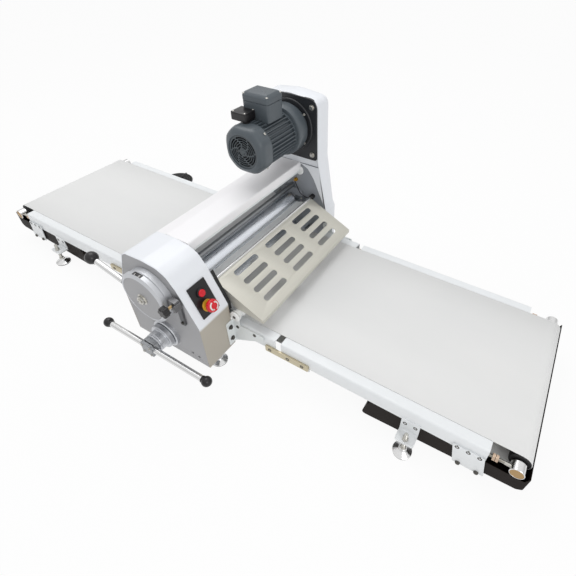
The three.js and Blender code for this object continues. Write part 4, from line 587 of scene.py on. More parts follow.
def threaded(radius, pitch, at, axis, low, high, steps=20):
    """A screw thread: the radius falls by 0.6 of the pitch and rises again once along each pitch,
    and the pattern climbs by one pitch in each turn about the axis."""
    u, v, w = axes_of(axis)
    h = np.linspace(low, high, max(int((high - low) / pitch * 4), 4) + 1)
    t = np.linspace(0, TURN, steps, endpoint=False)
    phase = np.mod(h[:, None] / pitch - t[None, :] / TURN, 1)
    r = radius - 0.6 * pitch * np.abs(2 * phase - 1)
    r[[0, -1]] = radius - 0.6 * pitch
    way = np.cos(t)[None, :, None] * u + np.sin(t)[None, :, None] * v
    return tube(np.asarray(at, float) + h[:, None, None] * w + r[..., None] * way)


def socket_screw(at, axis, radius, height):
    """A cap screw's head with a hexagonal socket."""
    c = radius * 0.12
    return turned([(0, 0), (radius, 0), (radius, height - c), (radius - c, height),
        (radius * 0.55, height, 1), (radius * 0.55, height * 0.35, 1), (0, height * 0.35)], at, axis, 24)


def hex_head(at, axis, radius, height):
    """A nut or bolt head with six flats and a chamfered top."""
    return turned([(0, 0), (radius, 0, 1), (radius, height * 0.85, 1), (radius * 0.86, height, 0.2),
        (radius * 0.45, height), (0, height)], at, axis, 24)


def pan_head(at, axis, radius, height):
    """A low domed screw head with a hexagonal recess."""
    return turned([(0, 0), (radius, 0), (radius, height * 0.35), (radius * 0.85, height * 0.75),
        (radius * 0.5, height), (radius * 0.4, height, 1), (radius * 0.4, height * 0.3, 1),
        (0, height * 0.3)], at, axis, 24)


def washer(at, axis, inner, outer, height):
    """A flat ring."""
    return turned([(inner, 0), (outer, 0), (outer, height), (inner, height), (inner, 0)], at, axis, 28)


SIDES = (("right", 1), ("left", -1))
ROWS = (("near", -1), ("far", 1))
BASE = "base"


def round_edges(thing, width, sharp, **settings):
    """A bevel in two steps over every edge sharper than an angle in degrees."""
    bevel = thing.modifiers.new("rounded edges", "BEVEL")
    bevel.width, bevel.segments, bevel.limit_method = width / METRE, 2, "ANGLE"
    bevel.angle_limit = math.radians(sharp)
    for key, value in settings.items():
        setattr(bevel, key, value)


def piece(name, shell, finish, edge, body=BASE, stands_for="", sharp=32):
    """A finished piece: one mesh in the frame, its edges rounded, riding on its body.

    It stands for the nodes named.
    """
    mesh = bpy.data.meshes.new(name)
    points = (shell.points + (0, BELT_MIDDLE, 0)) / METRE
    mesh.from_pydata(points.tolist(), [], shell.faces)
    work = bmesh.new()
    work.from_mesh(mesh)
    bmesh.ops.remove_doubles(work, verts=work.verts, dist=2e-6)
    bmesh.ops.dissolve_degenerate(work, edges=work.edges, dist=1e-7)
    bmesh.ops.recalc_face_normals(work, faces=work.faces)
    work.to_mesh(mesh)
    work.free()
    mesh.shade_smooth()
    mesh.set_sharp_from_angle(angle=math.radians(sharp))
    mesh.materials.append(FINISHES[finish])
    thing = put(name, mesh)
    if edge:
        round_edges(thing, edge, sharp, harden_normals=True)
    if body:
        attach(thing, body)
    if stands_for:
        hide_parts(*stands_for.split())
    return thing


def pair(name, shell, finish, edge, body=BASE, stands_for="", sharp=32):
    """A piece of the right side and its mirror image on the left; {} takes the side's word."""
    return [piece(f"{name}_{side}", shell.flipped(sign), finish, edge, body and body.format(side),
        stands_for.format(side), sharp) for side, sign in SIDES]


# ---------------------------------------------------------------- power lead

CORD_RADIUS = 5.0
COIL_X, COIL_Y, COIL_OUTER, COIL_LAYER_TURNS, COIL_PITCH = -852.0, 410.0, 86.0, 4, 10.7
COIL_START, COIL_END = -45 / 360, -90 / 360
LEAD_EXIT = (-182.6, 338.0, 92.0)
FEED_ROUTE = [(-212, 338, 89), (-230, 339, 78), (-248, 341, 60), (-264, 343, 40), (-282, 346, 22),
    (-304, 350, 10), (-330, 354, 5.5), (-370, 361, 5.2), (-420, 371, 5.2), (-470, 384, 5.2), (-520, 398, 5.2),
    (-570, 410, 5.2), (-620, 416, 5.2), (-665, 414, 5.2), (-705, 404, 5.2), (-740, 387, 5.2)]
TAIL_ROUTE = [(-900, 329, 11), (-916, 330, 8), (-934, 331, 6.2), (-952, 332, 6), (-968, 333, 8)]
PLUG_FACE = (-988.0, 329.0, 14.2)


def coil_line(steps_per_turn=40):
    """The coil's middle line: the radius falls by a pitch in each turn to the middle and grows again,
    while the height climbs by one pitch, as 3 s^2 - 2 s^3, over the half turn at the middle."""
    total = 2 * COIL_LAYER_TURNS + COIL_START - COIL_END
    turn = np.linspace(0, total, int(round(total * steps_per_turn)) + 1)
    from_middle = turn - total / 2
    s = np.clip(2 * from_middle + 0.5, 0, 1)
    radius = COIL_OUTER - CORD_RADIUS - COIL_PITCH * (total / 2 - np.abs(from_middle))
    angle = (COIL_START - turn) * TURN
    return np.stack([COIL_X + radius * np.cos(angle), COIL_Y + radius * np.sin(angle),
        CORD_RADIUS + (3 * s ** 2 - 2 * s ** 3) * COIL_PITCH], 1)


def run_out(line, end):
    """The unit vector that leads level out of one end of a line."""
    way = line[0] - line[1] if end == 0 else line[-1] - line[-2]
    way[2] = 0
    return way / np.linalg.norm(way)


def power_lead():
    """The lead in one run: down to the bench, along it, round the coil, and out to the plug."""
    coil = coil_line()
    into, out = run_out(coil, 0), run_out(coil, -1)
    lead_in = 4 * CORD_RADIUS
    feed = smooth_line([LEAD_EXIT, (LEAD_EXIT[0] - 10, *LEAD_EXIT[1:]), *FEED_ROUTE, coil[0] + into * lead_in,
        coil[0] + into * lead_in / 2], 5.0)
    tail = smooth_line([coil[-1] + out * lead_in / 2, coil[-1] + out * lead_in, *TAIL_ROUTE,
        (PLUG_FACE[0] + 10, *PLUG_FACE[1:]), PLUG_FACE], 4.0)
    line = np.vstack([feed, coil, tail])
    lead = piece("power_lead", swept(line, CORD_RADIUS, 14), "rubber", 0, BASE,
        "power_cord cord_coil cord_tail")
    neck, body = PLUG_FACE[0] - 12.3, PLUG_FACE[0] - 58.3
    at = (0, *PLUG_FACE[1:])
    ribs = [(8.0 + 0.9 * (-1) ** i, -PLUG_FACE[0] - 2 + i * 1.6) for i in range(9)]
    grip = turned([(0, -PLUG_FACE[0] - 3), *ribs, (9, -neck - 1), (12.5, -neck + 4), (14, -neck + 12),
        (14, -body - 8), (12.6, -body), (0, -body)], at, LEFT, 36)
    plug = piece("plug_body", grip, "black_plastic", 0.3, BASE, "power_plug")
    pin = [(0, -body - 1), (2.4, -body - 1), (2.4, -body + 16.5), (1.4, -body + 18.8), (0, -body + 18.9)]
    pins = joined(turned(pin, (0, PLUG_FACE[1] + side, PLUG_FACE[2]), LEFT, 20) for side in (-9.5, 9.5))
    contacts = piece("plug_pins", pins, "steel/brass", 0)
    ties = Shell()
    for degrees in (100, 235):
        a = math.radians(degrees)
        way, side = np.array((math.cos(a), math.sin(a), 0)), np.array((-math.sin(a), math.cos(a), 0))
        loop = rounded(oblong((31, 87), (0.2, 21.6), 6))
        inner = rounded(oblong((32.2, 85.8), (1.4, 20.4), 5))
        middle = np.array((COIL_X, COIL_Y, 0))
        corners = ((loop, -2.2), (loop, 2.2), (inner, 2.2), (inner, -2.2))
        rings = [middle + flat @ np.array((way, Z)) + half * side for flat, half in corners]
        ties.add(np.stack(rings), grid_faces(4, len(loop), True))
    tie = piece("lead_ties", ties, "black_plastic", 0.2)
    sleeve = turned([(12, 0.3, 1), (12, 5.5, 1), (10.6, 6.3), (9, 6.4), (9, 12), (8.4, 13), (8.4, 15),
        (7.8, 15.6), (7.8, 19), (7.2, 19.6), (7.2, 23), (6.6, 23.6), (6.6, 29), (6.1, 29.6), (6.1, 36),
        (5.6, 38), (0, 38), (0, 0.3)], (-160, *LEAD_EXIT[1:]), LEFT, 36)
    piece("lead_gland", sleeve, "black_plastic", 0.25, BASE, "cord_gland")


# ---------------------------------------------------------------- head

HEAD_HALF, HEAD_LOW, HEAD_HIGH = 160.0, 60.0, 428.0
COVER_EDGE = 292.0
EDGE_ROD = (34, 0, 390)
UPPER_ROLLER, LOWER_ROLLER, DRIVE_ROLLER = (0, 0, 255), (0, 0, 120), (74, 0, 135)
END_ROLLER = (1042, 0, 128)
SELECTOR = (0, 0, 137)
SELECTOR_BAR_Y = -484
NEAR_SHARES = [(-1, 0, 0), (-1, 0.557, 16), (-0.881, 0.671, 16), (-0.619, 0.954, 22), (-0.5, 0.986, 22),
    (-0.0625, 1, 60), (0.275, 0.989, 50), (0.481, 0.946, 40), (0.644, 0.842, 34), (1, 0.495, 20), (1, 0, 0)]
NEAR_PATH = [(x * HEAD_HALF, HEAD_LOW + z * (HEAD_HIGH - HEAD_LOW), r) for x, z, r in NEAR_SHARES]
FAR_PATH = [(-160, 60, 0), (-160, 240, 16), (-150, 261, 16), (-106, 455, 60), (-106, 672, 34), (8, 684, 200),
    (122, 672, 34), (122, 455, 60), (150, 261, 16), (160, 240, 16), (160, 60, 0)]
FACE_HOLES = [(94.3, 91.7, 4.5), (120.7, 88.8, 4.5), (4.9, 81.6, 4.0)]


def inset(path, distance):
    """An open path moved inwards, to its right-hand side, by a distance."""
    shell = bent(path, [(distance, 0), (distance, 1)])
    return shell.points.reshape(len(path), 2, 3)[:, 0][:, [0, 2]]


def covers():
    """The near cover and its face plate, and the far cover: sheets bent along their outlines."""
    near = rounded(NEAR_PATH, closed=False)
    lip = [(3, -COVER_EDGE), (0, -COVER_EDGE), (0, -409.2), (0.35, -410.8), (1.2, -411.8), (2.2, -412),
        (3, -411.7)]
    piece("near_cover_skin", bent(near, lip), "silver_paint", 0.3, BASE, "near_cover")
    plate = pierced(inset(near, 3.4), [circle(*hole) for hole in FACE_HOLES], -411.6, -409, edge=0.25)
    piece("face_plate", plate, "grey_paint/face", 0, BASE, "near_face_plate")
    flange = turned([(12, -409), (50, -409), (50, -421.5), (48, -424), (44, -424), (43.2, -423), (12, -423),
        (12, -409)], SELECTOR, Y, 72)
    piece("selector_flange", flange, "aluminium/selector", 0.4)
    far = rounded(FAR_PATH, closed=False)
    wrap = [(3, 292), (1.6, 292), (0.5, 292.6), (0, 294), (0, 358), (0.5, 361.2), (2, 363.8), (4.5, 365),
        (6.5, 365), (6.5, 362.5), (3, 360)]
    piece("far_cover_skin", bent(far, wrap), "silver_paint", 0.2, BASE, "far_cover")
    vents = [slot_outline(0, z, 70, 7) for z in (120, 138, 156, 174, 192)]
    back = pierced(inset(far, 6.2), vents, 361.6, 364.6, edge=0.3)
    piece("far_cover_back", back, "silver_paint", 0)
    cheek = drawn([(158.6, 243), (103, 370), (77, 408), (52, 421), (40, 424), (125, 424), (129, 400),
        (149, 262), (158, 245)], 291.6, 293.4)
    piece("far_cover_shoulders", cheek.join(cheek.flipped(-1)), "silver_paint", 0.3)
    # A black strip along the near cover's inner edge on both sloping sides: a dark sheet put in the gap
    # between cover and side plate, painted shade where that gap lies in shadow.
    shade_strip = drawn([(111.4, 351.9), (158.9, 243.2), (158.9, 214), (160.3, 214), (160.3, 243.5), (112.7, 352.5)],
        -291.4, -280.6)
    piece("near_cover_shade_strips", shade_strip.join(shade_strip.flipped(-1)), "rubber", 0)
    spots = [(x, z) for z in (90, 230) for x in (-140, 140)]
    spots += [(x, z) for z in (420, 640) for x in (-88, 104)]
    heads = joined(pan_head((x, 364.4, z), Y, 5.5, 3.4) for x, z in spots)
    piece("far_cover_screws", heads, "steel/zinc", 0.15)


def bridge():
    """The sheet over the rollers: one path bent down on the left and hemmed on the right."""
    path = rounded([(-116, 350, 0), (-99, 411, 12), (-44, 426.4, 40), (44, 428, 7), (44, 398.6, 1.4),
        (38.4, 398.6, 0)], closed=False)
    piece("bridge_skin", bent(path, strip(291.6, 1.6)), "white_paint/bridge", 0.3, BASE, "bridge_cover")
    # The chrome edge rod takes the light bracket finish, barely metallic: its light colour is a painted
    # highlight for the bright band the chrome shows.
    piece("edge_rod", turned(rod(6, -305, 305, 0.8, 1), EDGE_ROD, Y, 40), "stainless/bracket", 0, BASE,
        "bridge_edge_rod")
    ring = [(6.2, 292.2), (14, 292.2), (17.6, 293.2), (19, 295), (19, 297.6), (6.2, 297.6), (6.2, 292.2)]
    rings = both_sides(turned(ring, EDGE_ROD, Y, 48))
    piece("edge_rod_rings", rings, "nylon", 0.3)
    path = smooth_line([(18, 286, 343), (22, 284, 338), (30, 281.5, 327), (37, 280.5, 314), (46, 280.4, 300),
        (58, 281, 291), (72, 283, 286), (86, 288, 284), (90, 296, 283)], 2.0)
    piece("sensor_wire", swept(path, 1.7, 10, up=Y), "rubber", 0)
    fitting = hex_head((18, 297.6, 345), NEAR, 8.5, 6.5)
    fitting.join(threaded(5.2, 1.2, (18, 291, 345), NEAR, 0, 6, 16))
    piece("sensor_fitting", fitting, "steel/brass", 0.2)


def gear_outline(teeth, pitch_radius, addendum, share, x, z):
    """Teeth with straight flanks between a root and a tip circle."""
    step = TURN / teeth
    middle = (np.arange(teeth) + 0.5)[:, None] * step
    angle = middle + np.array((-1, -0.7, 0.7, 1)) * share * step / 2
    radius = pitch_radius + addendum * np.array((-1, 1, 1, -1)) + 0 * middle
    return np.stack([x + radius * np.cos(angle), z + radius * np.sin(angle)], -1).reshape(-1, 2)


def rollers():
    """The two sheeting rollers, the bearing cheeks, the scrapers and the tables' drive rollers."""
    def roller(radius, half, journal, reach, at, steps=64):
        c = 1.2
        return turned([(0, -reach), (journal - c, -reach), (journal, -reach + c), (journal, -half),
            (radius - 2, -half), (radius, -half + 2), (radius, half - 2), (radius - 2, half), (journal, half),
            (journal, reach - c), (journal - c, reach), (0, reach)], at, Y, steps)
    piece("upper_roller_face", roller(45, 258, 12, 316, UPPER_ROLLER, 96), "chrome/roller", 0.3,
        "upper_roller_set", "upper_roller")
    grooves = [(46, 322), (46, 324), (43, 325.6), (43, 327), (46, 328.6), (46, 330.4), (43, 332), (43, 333.4),
        (46, 335), (46, 336.8), (43, 338.4), (43, 339.2), (46, 340.4), (46, 342)]
    lower = turned([(0, -320), (14, -320), (15, -319), (15, -258), (43, -258), (45, -256), (45, 256),
        (43, 258), (15, 258), (15, 322), *grooves, (15, 342), (15, 345), (14, 346), (0, 346)], LOWER_ROLLER,
        Y, 96)
    piece("lower_roller_face", lower, "chrome/roller", 0.2, "lower_roller_set", "lower_roller")
    cheek = rounded([(-56, 216, 10), (-56, 262, 30), (-46, 309, 36), (46, 309, 36), (56, 262, 30),
        (56, 216, 10)])
    cheeks = both_sides(drawn(cheek, 285, 293.6))
    piece("bearing_cheeks", cheeks, "grey_paint", 1.6, "carriage")
    rim = turned([(24, 279.5), (28, 279.5), (30, 281.5), (30, 285.4), (24, 285.4), (24, 279.5)], UPPER_ROLLER,
        Y, 48)
    piece("bearing_rims", both_sides(rim), "steel", 0.4, "carriage")
    blade = bent(rounded([(43.4, 270.9, 0), (70, 278.3, 4), (79.2, 280.9, 0)], closed=False), strip(258, 1.8))
    arms = slab((20, 61.4), (268, 293.7), (267.2, 278.8)).join(slab((45.4, 61.4), (256, 270), (267.2, 276.5)))
    heads = joined(pan_head((53, y, 278.7), Z, 4.6, 3.0) for y in (-276, 276))
    # The stainless scraper blades take the white nylon finish: the white is a painted highlight standing for
    # the bright reflections on them.
    pair("scraper_blade", blade, "nylon", 0.3, "carriage", "scraper_{}")
    pair("scraper_arms", both_sides(arms), "steel", 1.2, "carriage")
    pair("scraper_screws", heads, "steel/zinc", 0.15, "carriage")
    drive = roller(20, 252, 8, 316, DRIVE_ROLLER, 40)
    pair("drive_roller_body", drive, "steel", 0.3, "{}_drive_roller_set", "drive_roller_{}")


# ---------------------------------------------------------------- operator's controls

DIAL_Z, DIAL_RADIUS, FIGURE_Y = 317.0, 86.0, 446.5
DIAL_AT = (0, 0, DIAL_Z)
LEVER_ANGLE = math.radians(166)
LEVER_Y = -441.0


def lever_point(reach):
    """The point of the lever's middle line at a reach from the dial's axis."""
    return (reach * math.cos(LEVER_ANGLE), LEVER_Y, DIAL_Z + reach * math.sin(LEVER_ANGLE))


def dial_numbers():
    """Two figures printed on the dial's rim: across the print is the angle, up the print is Y, and the
    radius stays just over the rim's."""
    marks, rim = Shell(), DIAL_RADIUS + 0.25
    for word, turn in (("4", 0.105), ("5", -0.1)):
        text = bpy.data.curves.new("figure", "FONT")
        text.body, text.size, text.align_x = word, 11, "CENTER"
        flat, faces = flat_mesh("figure", text)
        angle = math.pi / 2 + turn - flat[:, 0] / rim
        marks.add(np.stack([rim * np.cos(angle), flat[:, 1] - FIGURE_Y, DIAL_Z + rim * np.sin(angle)], 1),
            faces)
    return marks


def arc_patch(radius, first, last, y_low, y_high, steps=16):
    """A thin curved label: a strip between two angles in degrees, half a millimetre thick, on a rim."""
    t = np.radians(np.linspace(first, last, steps))
    section = ((radius - 0.4, y_low), (radius - 0.4, y_high), (radius + 0.1, y_high), (radius + 0.1, y_low))
    rows = [np.stack([r * np.cos(t), np.full(steps, y), DIAL_Z + r * np.sin(t)], 1) for r, y in section]
    return tube(np.stack(rows, 1))


def dial():
    """The thickness dial on its ring and shaft, with the lever and its ball."""
    ring = turned([(11, -412.3), (84, -412.3), (84, -429.5), (82, -432), (11, -432), (11, -412.3)], DIAL_AT,
        Y, 120)
    piece("dial_back_ring", ring, "aluminium/dial", 0.5, BASE, "dial_ring")
    body = "thickness_control"
    rim = turned([(11, -433), (85.2, -433), (86, -434), (86, -446.6), (84.6, -448.2), (76.4, -451.6),
        (75, -451.9), (74, -451.4), (73.6, -450), (11, -450), (11, -433)], DIAL_AT, Y, 144)
    piece("dial_rim", rim, "aluminium/dial", 0.3, body, "thickness_dial")
    face = turned([(11, -449.8), (73.2, -449.8), (73.2, -450.8), (19, -450.8), (18, -451), (11, -451),
        (11, -449.8)], DIAL_AT, Y, 96)
    piece("dial_face", face, "aluminium/dial_face", 0.2, body)
    piece("dial_number_patch", arc_patch(DIAL_RADIUS, 79, 102, -446.4, -434.4), "black_plastic", 0, body)
    piece("dial_figures", dial_numbers(), "nylon/print", 0, body)
    shaft = turned([(0, -455), (10, -455), (10, 332), (9, 333), (0, 333)], DIAL_AT, Y, 40)
    for low in (-330, 316):
        shaft.join(drawn(gear_outline(12, 18.007, 1.8, 0.36, 0, DIAL_Z), low, low + 14))
    piece("lift_shaft_body", shaft, "steel", 0.2, body, "lift_shaft")
    nut = turned([(8, 450.4), (18.4, 450.4), (18.4, 452.4), (8, 452.4), (8, 450.4)], DIAL_AT, NEAR, 36)
    nut.join(turned([(8, 452.4), (14.6, 452.4, 1), (14.6, 459.4, 1), (12.8, 460.6, 0.2), (8, 460.6)], DIAL_AT,
        NEAR, 24))
    nut.join(threaded(8, 1.5, DIAL_AT, NEAR, 452, 464, 24))
    piece("dial_nut", nut, "steel/zinc", 0.25, body)
    lever = swept([lever_point(r) for r in (86.4, 87.4, 205)], [8.6, 9.4, 9.4], 32, up=Y)
    piece("lever_rod", lever, "chrome", 0.5, body, "thickness_lever")
    way = (math.cos(LEVER_ANGLE), 0, math.sin(LEVER_ANGLE))
    t = np.linspace(0.25, math.pi - 0.02, 22)
    ball = [(19.6 * math.sin(a), 216 - 19.6 * math.cos(a)) for a in t[2:]]
    ball = [(10.4, 195.0), (11, 196), *ball, (0, 235.6)]
    piece("lever_ball", turned(ball, (0, LEVER_Y, DIAL_Z), way, 40), "black_plastic", 0.3, body)


CLAMP_Z = 333.0


def stop_clamp():
    """The post that stops the lever, with its jaw, its stud and the lobed knob."""
    at = (103, 0, CLAMP_Z)
    tail = drawn(rounded([(95, 235, 4), (111, 235, 4), (112, 322, 3), (94, 322, 3)]), -419.3, -412.3)
    block = drawn(rounded([(90, 316, 2), (115, 313, 2), (121, 330, 2), (117, 349, 2), (94, 352, 2),
        (88, 336, 2)]), -437, -419.3)
    jaw = drawn(rounded([(112, 316, 1.5), (124, 322, 1.5), (121, 344, 1.5), (111, 341, 1.5)]), -443, -420)
    piece("stop_post", tail.join(block, jaw), "aluminium/clamp", 0.8, BASE, "stop_clamp")
    screws = socket_screw((103, -419.2, 247), NEAR, 5, 4)
    screws.join(socket_screw((111.5, -436.9, 342), NEAR, 3.6, 3))
    piece("stop_post_screws", screws, "steel/black", 0.15)
    piece("clamp_stud", threaded(4.6, 1.1, at, NEAR, 434, 453.5, 20), "steel/stud", 0, "clamp_knob_set")
    t = np.linspace(0, TURN, 72, endpoint=False)
    lobes = 15.4 + 2.4 * np.cos(6 * t)
    across, upward = lobes * np.cos(t), lobes * np.sin(t)
    levels = ((0, -452.4), (0.62, -452.4), (0.94, -453.6), (1, -456), (1, -467), (0.95, -470.4),
        (0.8, -472.2), (0, -472.3))
    rows = [np.stack([103 + share * across, np.full(72, y), CLAMP_Z + share * upward], 1)
        for share, y in levels]
    knob = Shell(np.stack(rows), grid_faces(len(rows), 72))
    piece("clamp_knob_grip", knob, "black_plastic", 0.4, "clamp_knob_set", "clamp_knob")


def selector():
    """The direction selector: a stepped hub, a split block and the T bar with its two balls."""
    body = "direction_control"
    ring = turned([(8, 424.3), (41, 424.3), (42, 425.3), (42, 438.8), (40.6, 440.3), (33, 440.3), (32, 441.5),
        (32, 459), (31, 460.2), (30.2, 460.2), (29.6, 461.6), (30.2, 463), (31, 463), (32, 464.2), (32, 466),
        (30, 468.3), (0, 468.3), (0, 336), (22, 336), (22, 346), (8, 346), (8, 424.3)], SELECTOR, NEAR, 96)
    piece("selector_barrel", ring, "aluminium/selector", 0.5, body, "selector_hub")
    half = rounded(oblong((-24, 24), (115, 159), 5))
    block = drawn(half, -495.6, -485.2).join(drawn(half, -482.8, -466))
    piece("selector_block", block, "steel", 1.2, body)
    screws = joined(socket_screw((x, -495.5, z), NEAR, 3.8, 3.0) for x in (-16, 16) for z in (152, 122))
    piece("selector_screws", screws, "steel/zinc", 0.15, body)
    piece("selector_rod", turned(rod(9.5, -184, 224), (0, SELECTOR_BAR_Y, SELECTOR[2]), X, 32), "chrome", 0.4,
        body, "selector_bar")
    ball = [(0, -17), (10.2, -17), (10.8, -16)]
    ball += [(15.8 * math.sin(a), -15.8 * math.cos(a)) for a in np.linspace(0.3, math.pi, 20)[3:]]
    ends = ((-190, LEFT), (230, X))
    balls = joined(turned(ball, (x, SELECTOR_BAR_Y, SELECTOR[2]), way, 36) for x, way in ends)
    piece("selector_balls", balls, "black_plastic", 0.3, body)


# ---------------------------------------------------------------- switch panel on the sloping side

OUT = np.array((0.91326, 0, 0.40736))
DOWN = np.array((0.40736, 0, -0.91326))
PANEL_MIDDLE = np.array((131.96, -353, 305.01))
START_AT, STOP_AT = -20, 24


def domed(radius):
    """The height of the mushroom's crown over the panel at a radius."""
    return float(np.interp(radius, (6, 13.5, 17.6), (34.8, 33.8, 31.8)))


def panel():
    """The raised switch panel: made flat, X down the slope and Z out of it, then laid on the slope."""
    def on_slope(shell):
        return shell.laid(PANEL_MIDDLE, DOWN, OUT)

    sheet = pierced(rounded(oblong((-52.5, 52.5), (-33, 33), 2)), [], 0.4, 3.3, "XY", 0.5)
    piece("switch_panel", on_slope(sheet), "black_plastic", 0, BASE, "control_panel")
    bezel = turned([(12.2, 3), (15, 3), (15, 8), (13.8, 10.2), (12.4, 10.2), (11.8, 9), (11.8, 5), (12.2, 3)],
        (START_AT, 0, 0), Z, 48)
    for x in (START_AT, STOP_AT):
        bezel.join(turned(rod(11, -30, 3.2), (x, 0, 0), Z, 32))
    piece("switch_bezel", on_slope(bezel), "black_plastic", 0.3)
    collar = turned([(0, 3), (18.4, 3), (18.4, 5), (16, 6), (15, 12.3), (10, 12.3), (10, 6.5), (0, 6.5)],
        (STOP_AT, 0, 0), Z, 48)
    piece("stop_collar", on_slope(collar), "nylon/yellow", 0.3)
    cap = turned([(0, 6.6), (11.2, 6.6), (11.2, 11), (10.2, 12.2), (8, 12.6), (0, 12.6)], (START_AT, 0, 0),
        Z, 40)
    piece("start_cap", on_slope(cap), "red_plastic", 0.3, "start_button_set", "start_button")
    head = turned([(0, 12.6), (9, 12.6), (9, 20.3), (17.4, 20.3), (19.6, 21.6), (20, 24), (19.6, 28.4),
        (17.6, 31.8), (13.5, 33.8), (6, 34.8), (0, 35)], (STOP_AT, 0, 0), Z, 56)
    piece("stop_mushroom", on_slope(head), "red_plastic", 0.2, "emergency_stop_set", "emergency_stop")
    arrows = Shell()
    for start in (0.2, 0.2 + math.pi):
        t = np.linspace(start, start + 2.1, 18)
        rows = [np.stack([STOP_AT + r * np.cos(t), r * np.sin(t), np.full(18, domed(r) + lift)], 1)
            for r, lift in ((10.4, 0.31), (14.6, 0.25))]
        arrows.add(np.stack(rows), grid_faces(2, 18, round_columns=False))
        tip = [(STOP_AT + r * math.cos(t[-1] + a), r * math.sin(t[-1] + a), domed(r) + 0.3)
            for r, a in ((8.6, 0), (16.4, 0), (12.3, 0.5))]
        arrows.add(tip, [[0, 1, 2]])
    thing = piece("stop_arrows", on_slope(arrows), "nylon/print", 0, "emergency_stop_set")
    solid = thing.modifiers.new("print", "SOLIDIFY")
    solid.thickness, solid.offset = 0.2 / METRE, 0


# ---------------------------------------------------------------- guards

HINGE_X, HINGE_Z, FOOT_X, FOOT_Z = 99, 297, 276, 212
HINGE = np.array((HINGE_X, 0, HINGE_Z))
SLOPE = math.atan2(HINGE_Z - FOOT_Z, FOOT_X - HINGE_X)
GUARD_RUN = math.hypot(HINGE_Z - FOOT_Z, FOOT_X - HINGE_X)
FALL = np.array((math.cos(SLOPE), 0, -math.sin(SLOPE)))
FACE = np.array((math.sin(SLOPE), 0, math.cos(SLOPE)))


def guards():
    """The slotted guards: the right one's sheet is made flat, X down its fall, then laid on its slope."""
    slots = [slot_outline(30.5 + 41 * row, 6.5 + 161.6 * column, 112, 20, 12, upright=True)
        for row in range(4) for column in (-1, 0, 1)]
    sheet = pierced(oblong((7, GUARD_RUN - 5), (-273, 273)), slots, -1.5, 0, "XY", 0.12)
    sheet = sheet.laid(HINGE, FALL, FACE)
    bend = rounded([(FOOT_X - 5.2 * FALL[0], FOOT_Z - 5.2 * FALL[2], 0), (FOOT_X, FOOT_Z, 4.5),
        (FOOT_X, 200, 0)], closed=False)
    turn = np.linspace(math.pi * 1.05, math.pi / 2 - SLOPE, 14)
    knuckle = [(HINGE_X + 6.6 * math.cos(a), HINGE_Z - 5.6 + 5.6 * math.sin(a)) for a in turn]
    knuckle.append((HINGE + 7.2 * FALL)[[0, 2]])
    for path in (bend, knuckle):
        sheet.join(bent(path, strip(273, 1.5)))
    outline = [(95.5, 294), (166, 210.6), (194, 210.6), (274.6, 200.4), (275.2, 211.6), (99.4, 296)]
    cheek = both_sides(drawn(outline, 271.5, 273))
    pair("guard_sheet", sheet, "stainless", 0, "guard_{}_set", "guard_{}")
    pair("guard_cheeks", cheek, "stainless", 0.4, "guard_{}_set")
    pair("guard_rod", turned(rod(5, -305, 305, 0.6, 0.8), HINGE, Y, 28), "chrome", 0, "guard_{}_set")
    bush = turned([(5.2, 274), (9, 274), (10, 275), (10, 291.4), (5.2, 291.4), (5.2, 274)], HINGE, Y, 32)
    pair("guard_bushes", both_sides(bush), "black_plastic", 0.4, "guard_{}_set")


# ---------------------------------------------------------------- rails, beds, brackets and links

STUB_START, STUB_END, OUTER_START, OUTER_END = 165, 322, 343, 970
RAIL_PATH = [(250.6, 152, 0), (250.6, 157, 1.6), (283, 157, 7), (283, 106, 0)]
PIVOT_X, PIVOT_Z, LINK_START, LINK_END = 304, 112, 287, 445
SPOOL = (180, 0, 196)


def rail_pair(first, last):
    """Two bent rails: a short hem by the belt, the flat top, a round corner and the outer skirt."""
    return both_sides(bent(rounded(RAIL_PATH, closed=False), [(0, first), (0, last), (3, last), (3, first)],
        "YZ"))


def bed(first, last, bars):
    """The sheet under the belt, on cross bars that reach from skirt to skirt."""
    shell = slab((first, last), (-248, 248), (151.2, 154.7))
    for x in bars:
        shell.join(slab((x, x + 6), (-280, 280), (128.2, 151.1)))
    return shell


